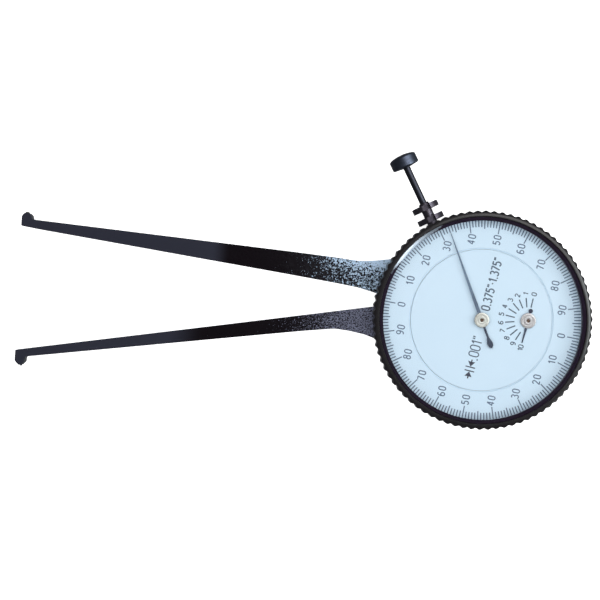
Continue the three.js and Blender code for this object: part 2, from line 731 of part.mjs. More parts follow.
function movingLeg() {
  const whole = joined(
    prism(movingLegOutline(), legBottom, legTop),
    disc(hubRadius, legBottom, legTop, roundSides, pivotX, pivotY),
    prism(tail, sectorTop, legTop)
  );
  return cut(
    whole,
    disc(caseInside, legBottom - overrun, sectorTop, ringSides),
    disc(pivotBushRadius + fixedFit, legBottom - overrun, legTop + overrun, roundSides, pivotX, pivotY),
    rod(movingInsertRadius + fixedFit, [-movingReach, movingInsertBase, legMiddle],
      [-movingReach, -movingDrop - overrun, legMiddle], smallSides),
    ...rivetHoles(sectorTop - overrun, rivetTop + movingGap)
  );
}

add('moving_leg', movingLeg(), finishes.blackPaint);
add('moving_contact', turned([
  [0, 0], [movingInsertRadius, 0], [movingInsertRadius, movingInsertLength - movingInsertProud],
  [0, movingInsertLength]
], smallSides), finishes.carbide, {
  position: [-movingReach, movingInsertBase, legMiddle],
  rotation: [Math.PI / 2, 0, 0]
});
add('pivot_bush', tube(pivotPinRadius + runningFit, pivotBushRadius, sectorBottom, legTop), finishes.brass, {
  position: [pivotX, pivotY, 0]
});

// Sector plate: the toothed rim, two arms and the lever with the push pin
const springArm = polar(sectorDistance * springArmShare, upperArmAngle, pivotX, pivotY);

function sectorWindow() {
  const radii = [sectorTip, sectorPitchRadius, sectorRoot];
  const points = [polar(sectorTip, windowStart, pivotX, pivotY)];
  const before = Math.floor(windowSide / sectorPitch);
  const after = Math.floor((closingAngle + windowSide) / sectorPitch);
  for (let space = -before; space <= after; space++) {
    points.push(...toothPoints(sectorSpace, radii, meshAngle + space * sectorPitch, pivotX, pivotY));
  }
  points.push(polar(sectorTip, windowEnd, pivotX, pivotY));
  for (let corner = windowCorners; corner >= 0; corner--) {
    const angle = windowStart + (windowEnd - windowStart) * corner / windowCorners;
    points.push(polar(windowInside, angle, pivotX, pivotY));
  }
  return outline(points);
}

function sectorGear() {
  const rimOutside = sectorRoot + sectorRim;
  const rimStart = lowerArmAngle - sectorArmWidth / 2 / sectorTip;
  const rimEnd = upperArmAngle + sectorArmWidth / 2 / sectorTip;
  const rim = new THREE.Shape();
  rim.absarc(pivotX, pivotY, rimOutside, rimStart, rimEnd, false);
  rim.absarc(pivotX, pivotY, sectorTip - sectorRim, rimEnd, rimStart, true);
  const plate = (shape) => prism(shape, sectorBottom, sectorTop, smallSides);
  const whole = joined(
    plate(rim),
    plate(bar(pivotX, pivotY, lowerArmAngle, sectorTip, sectorArmWidth)),
    plate(bar(pivotX, pivotY, upperArmAngle, sectorTip, sectorArmWidth)),
    plate(bar(pivotX, pivotY, leverAngle, leverReach, leverWidth)),
    plate(tail),
    disc(leverWidth / 2, sectorBottom, sectorTop, roundSides, pushPinX, pushPinY),
    disc(hubRadius, sectorBottom, sectorTop, roundSides, pivotX, pivotY)
  );
  const openBottom = sectorBottom - overrun;
  const openTop = sectorTop + overrun;
  return cut(
    whole,
    prism(sectorWindow(), openBottom, openTop),
    disc(pivotBushRadius + fixedFit, openBottom, openTop, roundSides, pivotX, pivotY),
    disc(pushPinRadius + fixedFit, openBottom, openTop, roundSides, pushPinX, pushPinY),
    disc(springPostRadius + fixedFit, openBottom, openTop, smallSides, ...springArm),
    ...rivetHoles(openBottom, openTop)
  );
}

add('sector_gear', sectorGear(), finishes.brightSteel);
rivetPlaces.forEach(([x, y], index) => {
  const rivet = disc(rivetRadius, sectorBottom, rivetTop, smallSides);
  add(`sector_rivet_${index + 1}`, rivet, finishes.brightSteel, { position: [x, y, 0] });
});
const postTop = legTop - postHeadroom;
add('push_pin', disc(pushPinRadius, sectorBottom, postTop, roundSides), finishes.brightSteel, {
  position: [pushPinX, pushPinY, 0]
});
add('leg_spring_post', disc(springPostRadius, sectorBottom, postTop, smallSides), finishes.brightSteel, {
  position: [...springArm, 0]
});

// Smallest gap between stretches of one path that lie at least some steps apart
function leastGap(points, thickness, apart) {
  let least = Infinity;
  for (let first = 0; first < points.length; first++) {
    for (let second = first + apart; second < points.length; second++) {
      least = Math.min(least, points[first].distanceTo(points[second]));
    }
  }
  return least - thickness;
}

// Extension spring from the sector's upper arm to the post on the frame
const springSpan = Math.hypot(framePostX - springArm[0], framePostY - springArm[1]);
const springDirection = Math.atan2(framePostY - springArm[1], framePostX - springArm[0]);
const springStart = springPostRadius + movingGap;
const springEnd = springSpan - springPostRadius - movingGap;

function springPath() {
  const points = [];
  const coilStart = springStart + legSpringEnd;
  const coilEnd = springEnd - legSpringEnd;
  points.push(new THREE.Vector3(0, 0, springStart));
  for (let step = 0; step <= legSpringCurls * curlSteps; step++) {
    const along = step / (legSpringCurls * curlSteps);
    const [x, y] = polar(legSpringRadius, 2 * Math.PI * step / curlSteps);
    points.push(new THREE.Vector3(x, y, coilStart + (coilEnd - coilStart) * along));
  }
  points.push(new THREE.Vector3(0, 0, springEnd));
  return points;
}

const springPoints = springPath();
const springCurve = new THREE.CatmullRomCurve3(springPoints);
const wireCorners = [];
for (let side = 0; side < curlSides; side++) {
  wireCorners.push(polar(legSpringWire / 2, 2 * Math.PI * side / curlSides));
}
const springGeometry = new THREE.ExtrudeGeometry(outline(wireCorners), {
  steps: springPoints.length, extrudePath: springCurve, bevelEnabled: false
});
add('leg_spring', toSolid(springGeometry), finishes.brightSteel, {
  position: [...springArm, sectorTop + legSpringLift],
  rotation: [0, Math.PI / 2, springDirection, 'ZYX']
});
console.log('least gap of leg_spring', leastGap(springPoints, legSpringWire, curlSteps / 2).toFixed(2));

// Counter arbor: pinion in the sector, wheel on the centre pinion
const pinionBottom = sectorBottom - pinionOverlap / 2;
const pinionTop = sectorTop + movingGap;
const counterPinionSolid = joined(
  gearSolid(counterPinion, pinionBottom, pinionTop, true),
  turned([
    [0, pinionBottom], [counterArborRadius, pinionBottom],
    [counterArborRadius, wheelBottom - collarHeight],
    [counterArborRadius + collarWidth, wheelBottom - collarHeight],
    [counterArborRadius + collarWidth, wheelBottom], [counterArborRadius, wheelBottom],
    [counterArborRadius, wheelTop + pinionOverlap], [pivotRadius, wheelTop + pinionOverlap],
    [pivotRadius, smallHubTop - hubChamfer], [0, smallHubTop - hubChamfer]
  ], roundSides)
);
add('counter_pinion', counterPinionSolid, finishes.brightSteel, { position: [counterX, counterY, 0] });

function wheelSolid(gear, bore, crossings) {
  const holes = [disc(bore + fixedFit, wheelBottom - overrun, wheelTop + overrun, roundSides)];
  for (let index = 0; index < crossings; index++) {
    const [x, y] = polar(tipRadius(gear) * crossingShare, (index + 0.5) * 2 * Math.PI / crossings);
    holes.push(disc(crossingRadius, wheelBottom - overrun, wheelTop + overrun, crossingSides, x, y));
  }
  return cut(gearSolid(gear, wheelBottom, wheelTop, false), ...holes);
}

add('counter_wheel', wheelSolid(counterWheel, counterArborRadius, wheelCrossings), finishes.brass, {
  position: [counterX, counterY, 0]
});

// A tapered hand pointing along +X, with a bore at its hub
function handSolid(points, bottom, top, hub) {
  const blade = prism(outline(points), bottom, top).add(disc(hub, bottom, top, roundSides));
  return cut(blade, disc(pivotRadius + fixedFit, bottom - overrun, top + overrun, roundSides));
}

const smallBlade = [
  [0, -smallHandRoot / 2], [smallHandLength, -smallHandTip / 2], [smallHandLength, smallHandTip / 2],
  [0, smallHandRoot / 2], [-smallHandTail, smallHandTip / 2], [-smallHandTail, -smallHandTip / 2]
];
const smallHand = handSolid(smallBlade, smallHandBottom, smallHandTop, smallHubRadius / 2)
  .add(disc(smallHandBlob, smallHandBottom, smallHandTop, smallSides, -smallHandTail, 0));
add('small_hand', smallHand, finishes.blueSteel, {
  position: [counterX, counterY, 0], rotation: [0, 0, smallHandAngle]
});

function hubSolid(radius, bottom, top) {
  return turned([
    [pivotRadius + fixedFit, bottom], [radius, bottom], [radius, top - hubChamfer],
    [radius - hubChamfer, top], [pivotRadius + fixedFit, top], [pivotRadius + fixedFit, bottom]
  ], roundSides);
}

add('small_hand_hub', hubSolid(smallHubRadius, smallHandTop, smallHubTop), finishes.brightSteel, {
  position: [counterX, counterY, 0]
});

// Centre arbor
const centreTop = mainHubTop + arborEndProud;
const centrePinionSolid = joined(
  gearSolid(centrePinion, wheelBottom - pinionOverlap, wheelTop + pinionOverlap, true),
  disc(pivotRadius, webBottom + pivotEndGap, centreTop, smallSides)
);
add('centre_pinion', centrePinionSolid, finishes.brass);
const mainBlade = [
  [0, -mainHandRoot / 2], [mainHandLength, -mainHandTip / 2], [mainHandLength, mainHandTip / 2],
  [0, mainHandRoot / 2], [-mainHubRadius, mainHandWaist / 2], [-mainHandTail, mainHandTailWidth / 2],
  [-mainHandTail, -mainHandTailWidth / 2], [-mainHubRadius, -mainHandWaist / 2]
];
add('main_hand', handSolid(mainBlade, mainHandBottom, mainHandTop, mainHubRadius / 2), finishes.blueSteel, {
  rotation: [0, 0, mainHandAngle]
});
add('main_hand_hub', hubSolid(mainHubRadius, mainHandTop, mainHubTop), finishes.brightSteel);

// Hairspring arbor takes up the play in the train
const hairspringBottom = wheelTop + pinionOverlap / 2;
const hairspringArbor = turned([
  [0, webBottom + pivotEndGap], [pivotRadius, webBottom + pivotEndGap],
  [pivotRadius, wheelBottom - collarHeight], [colletRadius, wheelBottom - collarHeight],
  [colletRadius, wheelBottom], [pivotRadius, wheelBottom],
  [pivotRadius, wheelTop], [colletRadius, wheelTop], [colletRadius, plateBottom - pinionOverlap / 2],
  [pivotRadius, plateBottom - pinionOverlap / 2], [pivotRadius, plateTop], [0, plateTop]
], smallSides);
add('hairspring_arbor', hairspringArbor, finishes.brightSteel, { position: [hairspringX, hairspringY, 0] });
add('hairspring_wheel', wheelSolid(hairspringWheel, pivotRadius, 0), finishes.brass, {
  position: [hairspringX, hairspringY, 0]
});

function spiralPoints(offset) {
  const points = [];
  for (let step = 0; step <= hairspringTurns * hairspringSteps; step++) {
    const turns = step / hairspringSteps;
    const radius = colletRadius + hairspringPitch * (hairspringStart + turns) + offset;
    points.push(polar(radius, 2 * Math.PI * turns));
  }
  return points;
}

const hairspringShape = outline([
  ...spiralPoints(hairspringStrip / 2),
  ...spiralPoints(-hairspringStrip / 2).reverse()
]);
const hairspring = prism(hairspringShape, hairspringBottom, hairspringBottom + hairspringHeight);
add('hairspring', hairspring, finishes.blueSteel, {
  position: [hairspringX, hairspringY, 0],
  rotation: [0, 0, studAngle]
});
const spiralLine = spiralPoints(0).map(([x, y]) => new THREE.Vector2(x, y));
console.log('least gap of hairspring', leastGap(spiralLine, hairspringStrip, hairspringSteps / 2).toFixed(2));
add('hairspring_stud', disc(studRadius, hairspringBottom, plateTop, smallSides), finishes.brass, {
  position: [...studPlace, 0]
});

// Dial disc on its two feet
const dialHoles = arborSeats.slice(0, 2).map(([x, y]) =>
  disc(dialHoleRadius, dialBottom - overrun, dialTop + overrun, roundSides, x, y));
const dialFeet = dialFootAngles.map((angle) =>
  disc(dialFootRadius, plateBottom + dialFootLift, dialTop, smallSides, ...polar(dialFootCircle, angle)));
const dialDisc = cut(disc(seamRadius - seamGap / 2, dialBottom, dialTop, ringSides), ...dialHoles);
add('dial_disc', joined(dialDisc, ...dialFeet), finishes.dialBlue);

// Bezel with its scalloped edge
function knurlOutline() {
  const points = [];
  const halfStep = Math.PI / knurlCount;
  for (let ridge = 0; ridge < knurlCount; ridge++) {
    points.push(polar(bezelRadius, 2 * ridge * halfStep));
    points.push(polar(valleyRadius, (2 * ridge + 1) * halfStep));
  }
  return outline(points);
}

function bezelRing() {
  const crownInside = bezelRadius - bezelCrownWidth;
  const grooveOutside = crownInside - bezelLandWidth;
  const grooveInside = grooveOutside - bezelGrooveWidth;
  const grooveBottom = bezelTop - bezelGrooveDepth;
  const profile = [
    [bezelBore, bezelBottom], [bezelRadius - bezelEdgeChamfer, bezelBottom],
    [bezelRadius + overrun, bezelBottom + bezelEdgeChamfer + overrun],
    [bezelRadius + overrun, bezelTop - bezelCrownDrop * (bezelCrownWidth + overrun) / bezelCrownWidth],
    [crownInside, bezelTop],
    [grooveOutside, bezelTop], [grooveOutside, grooveBottom],
    [grooveInside, grooveBottom], [grooveInside, bezelTop - bezelGrooveDepth * bezelLipShare],
    [windowRadius, lipBottom + bezelLipThickness * bezelLipShare], [windowRadius, lipBottom],
    [bezelSeat, lipBottom], [bezelSeat, dialBottom], [bezelBore, dialBottom],
    [bezelBore, snapGrooveTop], [bezelGrooveRadius, snapGrooveTop],
    [bezelGrooveRadius, snapGrooveBottom], [bezelBore, snapGrooveBottom], [bezelBore, bezelBottom]
  ];
  const knurl = prism(knurlOutline(), bezelBottom - overrun, bezelTop + overrun);
  return turned(profile, ringSides).intersect(knurl);
}

add('bezel_ring', bezelRing(), finishes.blackPaint);
const seatRadius = bezelSeat - fixedFit;
const edgeTop = crystalBottom + crystalEdge;
const crownTop = edgeTop + crystalCrown;
const scaleRing = tube(seamRadius + seamGap / 2, seatRadius, dialBottom, dialTop, ringSides);
add('scale_ring', scaleRing, finishes.dialBlue);
const spacer = tube(windowRadius + fixedFit / 2, seatRadius, dialTop, crystalBottom, ringSides);
add('crystal_spacer', spacer, finishes.blackPaint);
add('crystal', turned([
  [0, crystalBottom], [seatRadius, crystalBottom], [seatRadius, edgeTop], [windowRadius - fixedFit, edgeTop],
  [windowRadius / 2, crownTop], [0, crownTop]
], ringSides), finishes.glass);

// Open ring that holds the bezel on the case
const snapRing = new THREE.Shape();
snapRing.absarc(0, 0, snapRingOutside, snapRingOpening, 2 * Math.PI - snapRingOpening, false);
snapRing.absarc(0, 0, snapRingInside, 2 * Math.PI - snapRingOpening, snapRingOpening, true);
add('bezel_snap_ring', prism(snapRing, snapRingBottom, snapRingTop, ringSides / 2), finishes.brightSteel);

// Plunger and its guide, turned about a local Z that runs outward from the dial axis
const plunger = new THREE.Group();
plunger.position.set(0, 0, legMiddle);
plunger.rotation.set(0, Math.PI / 2, plungerAngle, 'ZYX');
group.add(plunger);

const notches = (start) => [1, -1].map((side) => {
  const box = new THREE.BoxGeometry(2 * flangeRadius, notchWidth, flangeThickness + 2 * overrun);
  const inside = guideRadius + fixedFit + movingGap;
  return toSolid(box.translate(side * (flangeRadius + inside), 0, start + flangeThickness / 2));
});
const flange = cut(disc(flangeRadius, flangePlace, flangePlace + flangeThickness), ...notches(flangePlace));
const guide = cut(
  disc(guideRadius, guideStart, guideEnd).add(flange),
  disc(guideBore, guideStart - overrun, guideEnd + overrun)
);
add('plunger_guide', guide, finishes.blackSteel, { parent: plunger });
const nut = tube(guideRadius + fixedFit, flangeRadius, nutPlace, nutPlace + flangeThickness);
add('plunger_lock_nut', cut(nut, ...notches(nutPlace)), finishes.blackSteel, { parent: plunger });

const clipEnd = guideStart - movingGap;
const clipStart = clipEnd - clipThickness;
const stemWaist = stemRadius - clipGrooveDepth;
add('plunger_stem', turned([
  [0, stemStart], [stemRadius, stemStart],
  [stemRadius, clipStart - fixedFit], [stemWaist, clipStart - fixedFit],
  [stemWaist, clipEnd + fixedFit], [stemRadius, clipEnd + fixedFit],
  [stemRadius, knobPlace + knobGrip], [0, knobPlace + knobGrip]
], roundSides), finishes.blackSteel, { parent: plunger });
const clip = tube(stemWaist + fixedFit, clipRadius, clipStart, clipEnd);
add('plunger_clip', clip, finishes.brightSteel, { parent: plunger });
const knobBore = stemRadius + fixedFit;
const knobDepth = knobPlace + knobGrip + fixedFit;
const knobEnd = knobPlace + knobSide;
add('plunger_knob', turned([
  [0, knobDepth], [knobBore, knobDepth], [knobBore, knobPlace - knobCone],
  [knobRadius, knobPlace], [knobRadius, knobEnd],
  ...knobDomeAngles.map((angle) => [knobRadius * Math.cos(angle), knobEnd + knobDome * Math.sin(angle)]),
  [0, knobEnd + knobDome]
], roundSides), finishes.blackSteel, { parent: plunger });

export default group;
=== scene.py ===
import json
import math

import bmesh
import bpy
from mathutils import Matrix, Vector


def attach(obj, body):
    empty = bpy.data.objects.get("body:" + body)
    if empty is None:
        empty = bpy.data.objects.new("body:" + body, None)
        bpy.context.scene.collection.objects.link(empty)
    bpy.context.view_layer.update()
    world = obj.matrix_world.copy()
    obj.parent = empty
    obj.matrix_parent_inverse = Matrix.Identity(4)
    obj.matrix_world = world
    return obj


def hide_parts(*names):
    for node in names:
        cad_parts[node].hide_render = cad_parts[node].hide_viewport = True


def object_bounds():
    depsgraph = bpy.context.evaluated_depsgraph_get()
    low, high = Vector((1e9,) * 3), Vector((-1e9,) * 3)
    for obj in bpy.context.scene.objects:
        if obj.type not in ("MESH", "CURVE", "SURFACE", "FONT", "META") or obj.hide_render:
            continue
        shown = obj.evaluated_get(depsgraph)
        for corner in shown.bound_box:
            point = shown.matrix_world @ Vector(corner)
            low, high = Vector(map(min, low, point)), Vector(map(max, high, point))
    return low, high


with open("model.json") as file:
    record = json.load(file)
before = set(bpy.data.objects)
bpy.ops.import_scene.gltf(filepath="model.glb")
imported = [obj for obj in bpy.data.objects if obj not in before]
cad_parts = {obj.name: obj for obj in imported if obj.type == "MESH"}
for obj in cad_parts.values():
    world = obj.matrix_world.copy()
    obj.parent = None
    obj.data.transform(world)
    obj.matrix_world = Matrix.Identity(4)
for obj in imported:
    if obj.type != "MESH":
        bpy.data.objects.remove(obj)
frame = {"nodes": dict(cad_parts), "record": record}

# Inside dial caliper on its back, dial up. Pieces are worked out in millimetres and degrees, then scaled to
# metres. The origin is the dial axis on the back cover's outer face, and the legs point to -X.
mm = 0.001
scene = bpy.context.scene
nodes = frame["nodes"]
cadLow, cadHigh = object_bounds()


# An sRGB hex colour as the linear one that sockets take
def toLinear(hexColour):
    channels = []
    for shift in (16, 8, 0):
        value = (hexColour >> shift & 255) / 255
        channels.append(value / 12.92 if value <= 0.04045 else ((value + 0.055) / 1.055) ** 2.4)
    return (*channels, 1.0)


# Values are put on a node's sockets or its own settings, and another node's output is linked
def setNode(tree, node, settings):
    for name, value in settings.items():
        if isinstance(value, bpy.types.NodeSocket):
            tree.links.new(value, node.inputs[name])
        elif isinstance(name, int) or name in node.inputs:
            node.inputs[name].default_value = value
        else:
            setattr(node, name, value)


def addNode(tree, kind, settings):
    node = tree.nodes.new(kind)
    setNode(tree, node, settings)
    return node


def newMaterial(name, hexColour):
    material = bpy.data.materials.new(name)
    material.use_nodes = True
    tree = material.node_tree
    shader = tree.nodes["Principled BSDF"]
    shader.inputs["Base Color"].default_value = toLinear(hexColour)
    return material, tree, shader


def polar(radius, turn, x=0.0, y=0.0):
    angle = math.radians(turn)
    return x + radius * math.cos(angle), y + radius * math.sin(angle)


def arc(x, y, width, height, start, end, steps):
    turns = [math.radians(start + (end - start) * step / steps) for step in range(steps + 1)]
    return [(x + width * math.cos(turn), y + height * math.sin(turn)) for turn in turns]


def roundArc(x, y, radius, start, end, steps):
    return arc(x, y, radius, radius, start, end, steps)


# The values of a piece that are named in one string
def pick(sizes, names):
    return [sizes[name] for name in names.split()]


def tubeProfile(inside, outside, bottom, top):
    return [(inside, bottom), (outside, bottom), (outside, top), (inside, top)]


# Each corner is (x, y), or (x, y, radius) where it is rounded
def roundCorners(corners, steps=6):
    outline = []
    for index, corner in enumerate(corners):
        here = Vector(corner[:2])
        if len(corner) < 3:
            outline.append(tuple(here))
            continue
        back = Vector(corners[index - 1][:2]) - here
        ahead = Vector(corners[(index + 1) % len(corners)][:2]) - here
        half = back.angle(ahead) / 2
        reach = min(corner[2] / math.tan(half), back.length * 0.49, ahead.length * 0.49)
        if reach < 0.02:
            outline.append(tuple(here))
            continue
        first = here + back.normalized() * reach
        last = here + ahead.normalized() * reach
        for share in [step / steps for step in range(steps + 1)]:
            curved = first * (1 - share) ** 2 + here * 2 * share * (1 - share) + last * share ** 2
            outline.append(tuple(curved))
    return outline


def cleanShape(bm, place=None):
    bmesh.ops.remove_doubles(bm, verts=bm.verts, dist=0.0005)
    bmesh.ops.dissolve_degenerate(bm, edges=bm.edges, dist=0.0002)
    bmesh.ops.recalc_face_normals(bm, faces=bm.faces)
    if place is not None:
        bmesh.ops.transform(bm, matrix=place, verts=bm.verts)
    return bm


# A closed profile of (radius, height) turned about Z
def spinShape(profile, steps, place=None):
    bm = bmesh.new()
    corners = [bm.verts.new((radius, 0, height)) for radius, height in profile]
    edges = [bm.edges.new(pair) for pair in zip(corners, corners[1:] + corners[:1])]
    bmesh.ops.spin(
        bm, geom=corners + edges, axis=(0, 0, 1), cent=(0, 0, 0), angle=math.tau, steps=steps, use_merge=True)
    return cleanShape(bm, place)


# Faces raised by height with their sides, as the list of raised faces
def raiseFaces(bm, faces, height):
    raised = bmesh.ops.extrude_face_region(bm, geom=faces)["geom"]
    bmesh.ops.translate(bm, verts=[v for v in raised if isinstance(v, bmesh.types.BMVert)], vec=(0, 0, height))
    return [face for face in raised if isinstance(face, bmesh.types.BMFace)]


# An outline raised from bottom to top, its two rims rounded by edge
def plateShape(outline, bottom, top, edge=0.0, segments=3, place=None):
    bm = bmesh.new()
    raiseFaces(bm, [bm.faces.new([bm.verts.new((x, y, bottom)) for x, y in outline])], top - bottom)
    bmesh.ops.recalc_face_normals(bm, faces=bm.faces)
    if edge:
        rims = [e for e in bm.edges if abs(e.verts[0].co.z - e.verts[1].co.z) < 0.001]
        bmesh.ops.bevel(
            bm, geom=rims, offset=edge, offset_type="OFFSET", segments=segments, profile=0.5,
            affect="EDGES", clamp_overlap=True, material=-1)
    return cleanShape(bm, place)


def cutAcross(bm, place, normal):
    bmesh.ops.bisect_plane(bm, geom=bm.verts[:] + bm.edges[:] + bm.faces[:], plane_co=place, plane_no=normal)


# A round disc with a slot across its top face
def slottedHead(radius, bottom, top, slotWidth, slotDepth, place):
    bm = bmesh.new()
    bmesh.ops.create_circle(bm, cap_ends=True, radius=radius, segments=48)
    for side in (1, -1):
        cutAcross(bm, (0, side * slotWidth / 2, 0), (0, 1, 0))
    faces = raiseFaces(bm, bm.faces[:], top - bottom - slotDepth)
    for land in [face for face in faces if abs(face.calc_center_median().y) > slotWidth / 2]:
        raiseFaces(bm, [land], slotDepth)
        bmesh.ops.delete(bm, geom=[land], context="FACES_ONLY")
    bmesh.ops.translate(bm, verts=bm.verts, vec=(0, 0, bottom))
    return cleanShape(bm, place)


def at(x=0.0, y=0.0, z=0.0, turn=0.0):
    return Matrix.Translation((x, y, z)) @ Matrix.Rotation(math.radians(turn), 4, "Z")


# Outlines as the mesh of a curve: one that ends where it starts is closed
def curveShape(outlines, settings, place):
    curve = bpy.data.curves.new("outlines", "CURVE")
    for name, value in settings.items():
        setattr(curve, name, value)
    for points in outlines:
        closed = (Vector(points[0]) - Vector(points[-1])).length < 1e-6
        kept = points[:-1] if closed else points
        spline = curve.splines.new("POLY")
        spline.points.add(len(kept) - 1)
        spline.use_cyclic_u = closed
        for point, (x, y) in zip(spline.points, kept):
            point.co = (x, y, 0, 1)
    holder = bpy.data.objects.new("outlines", curve)
    mesh = bpy.data.meshes.new_from_object(holder)
    bm = bmesh.new()
    bm.from_mesh(mesh)
    bpy.data.objects.remove(holder)
    bpy.data.curves.remove(curve)
    bpy.data.meshes.remove(mesh)
    return cleanShape(bm, place)


def finishPiece(name, shapes, materials, body, replaces=(), smooth=35, bevel=0.0):
    whole = bmesh.new()
    for shape in shapes:
        part = bpy.data.meshes.new("part")
        shape.to_mesh(part)
        shape.free()
        whole.from_mesh(part)
        bpy.data.meshes.remove(part)
    bmesh.ops.scale(whole, vec=(mm, mm, mm), verts=whole.verts)
    mesh = bpy.data.meshes.new(name)
    whole.to_mesh(mesh)
    whole.free()
    for material in materials:
        mesh.materials.append(material)
    piece = bpy.data.objects.new(name, mesh)
    scene.collection.objects.link(piece)
    mesh.shade_smooth()
    mesh.set_sharp_from_angle(angle=math.radians(smooth))
    if bevel:
        rounding = piece.modifiers.new("rounding", "BEVEL")
        rounding.width = bevel * mm
        rounding.segments = 2
        rounding.limit_method = "ANGLE"
        rounding.angle_limit = math.radians(smooth)
    # Long thin faces at the rims would shade flat faces unevenly without this
    evenShading = piece.modifiers.new("even_shading", "WEIGHTED_NORMAL")
    evenShading.keep_sharp = True
    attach(piece, body)
    for node in replaces:
        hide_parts(node)


# Steps of the materials: each returns the socket that the next step takes
def objectPoint(tree):
    return addNode(tree, "ShaderNodeTexCoord", {}).outputs["Object"]


def turnedPoint(tree, place, turns):
    return addNode(tree, "ShaderNodeMapping", {
        "vector_type": "TEXTURE", "Vector": objectPoint(tree), "Location": [value * mm for value in place],
        "Rotation": [math.radians(value) for value in turns]
    }).outputs["Vector"]


def axesOf(tree, point):
    return addNode(tree, "ShaderNodeSeparateXYZ", {0: point}).outputs


def noise(tree, point, size, detail, **settings):
    return addNode(tree, "ShaderNodeTexNoise", {
        "Vector": point, "Scale": 1 / (size * mm), "Detail": detail, **settings}).outputs["Fac"]


def mapRange(tree, source, start, end, low=0.0, high=1.0, kind="LINEAR"):
    return addNode(tree, "ShaderNodeMapRange", {
        "interpolation_type": kind, "Value": source, "From Min": start, "From Max": end,
        "To Min": low, "To Max": high}).outputs["Result"]


# A soft change between two places, in millimetres
def fade(tree, source, start, end, high=1.0):
    return mapRange(tree, source, start * mm, end * mm, 0.0, high, "SMOOTHSTEP")


def maths(tree, operation, *values):
    return addNode(tree, "ShaderNodeMath", {
        "operation": operation, **dict(enumerate(values))}).outputs["Value"]


# Each end is a hex colour or the socket of one
def mixColours(tree, share, *ends):
    colours = [toLinear(end) if isinstance(end, int) else end for end in ends]
    return addNode(tree, "ShaderNodeMix", {
        "data_type": "RGBA", 0: share, **dict(enumerate(colours, 6))}).outputs[2]


def bump(tree, height, strength, distance, **links):
    return addNode(tree, "ShaderNodeBump", {
        "Height": height, "Strength": strength, "Distance": distance * mm, **links}).outputs["Normal"]


# Black stove enamel, sprayed over a forging or casting: faint orange peel, and a coarse wrinkle towards the
# case. Pale specks on its crests are painted glints, most at the root's upper edge, and it is slate where the
# legs are slim.
def blackEnamel(name, settings):
    material, tree, shader = newMaterial(name, settings["paint"])
    point = objectPoint(tree)
    axes = axesOf(tree, point)
    rootZone = fade(tree, axes["X"], settings["wrinkleStart"], settings["wrinkleFull"])
    wrinkle = noise(tree, point, settings["wrinkleSize"], 4.0, Roughness=0.62, Distortion=0.6)
    peelBump = bump(tree, noise(tree, point, settings["peelSize"], 3.0), 0.12, settings["peelDepth"])
    wrinkleBump = bump(tree, maths(tree, "MULTIPLY", wrinkle, rootZone), 0.9, settings["wrinkleDepth"],
                       Normal=peelBump)
    reach = maths(tree, "MULTIPLY_ADD", rootZone, settings["glintReach"], -settings["glintReach"])
    edgeGlint = fade(tree, axes["Y"], settings["edgeGlintStart"], settings["edgeGlintFull"], settings["edgeGlintLift"])
    nearRoot = maths(tree, "POWER", rootZone, 3.0)
    edgeReach = maths(tree, "MULTIPLY_ADD", edgeGlint, nearRoot, reach)
    crests = maths(tree, "ADD", wrinkle, edgeReach)
    floor, roughness, slateEnd, slateFade = pick(settings, "crestFloor roughness slateEnd slateFade")
    # The pale colour on the crests is a painted highlight: glints painted where the wrinkle would catch the
    # light
    rubWearAndGlint = mapRange(tree, crests, floor, floor + settings["glintFade"], kind="SMOOTHSTEP")
    mottle = noise(tree, point, settings["mottleSize"], 4.0, Roughness=0.6)
    black = mixColours(tree, mottle, settings["paint"], settings["mottle"])
    slimZone = fade(tree, axes["X"], slateEnd + slateFade, slateEnd - slateFade)
    ground = mixColours(tree, slimZone, black, settings["slate"])
    patches = noise(tree, point, settings["patchSize"], 2.0)
    setNode(tree, shader, {
        "Base Color": mixColours(tree, rubWearAndGlint, ground, settings["paintedGlint"]), "Normal": wrinkleBump,
        "Roughness": mapRange(tree, patches, 0.3, 0.7, roughness - 0.03, roughness + 0.04),
        "Specular IOR Level": settings["shine"], "Specular Tint": (0.8, 0.88, 1.0, 1.0)})
    return material


# What all the satin lacquers share: a fine grain, and the pattern in which they are rubbed
def startLacquer(name, settings):
    material, tree, shader = newMaterial(name, settings["paint"])
    point = objectPoint(tree)
    grain = noise(tree, point, settings["grainSize"], 2.0)
    setNode(tree, shader, {
        "Roughness": settings["roughness"], "Specular IOR Level": settings["shine"],
        "Normal": bump(tree, grain, 0.25, 0.02)})
    return material, tree, shader, noise(tree, point, settings["rubSize"], settings["rubDetail"])


# Satin black lacquer over a turned ring, a little paler where hands rub it
def satinLacquer(name, settings):
    material, tree, shader, rub = startLacquer(name, settings)
    setNode(tree, shader, {"Base Color": mixColours(tree, rub, settings["paint"], settings["rubWearAndGlint"])})
    return material


# The same lacquer with bright bare metal on one side of the dial, where the lip's highlight falls, a painted
# highlight; broken up where it fades out
def wornLacquer(name, settings):
    material, tree, shader, rub = startLacquer(name, settings)
    across = axesOf(tree, turnedPoint(tree, (0, 0, 0), (0, 0, settings["turn"])))["X"]
    highlightBreakup = noise(tree, objectPoint(tree), settings["breakupSize"], 3.0)
    side = mapRange(tree, across, settings["from"] * mm, settings["to"] * mm, -0.7, 0.7)
    bare = mapRange(tree, maths(tree, "ADD", side, highlightBreakup), 0.35, 0.65)
    covered = mixColours(tree, rub, settings["paint"], settings["rubWearAndGlint"])
    setNode(tree, shader, {
        "Base Color": mixColours(tree, bare, covered, settings["bare"]), "Metallic": bare,
        "Roughness": mapRange(tree, bare, 0.0, 1.0, settings["roughness"], settings["bareRoughness"])})
    return material


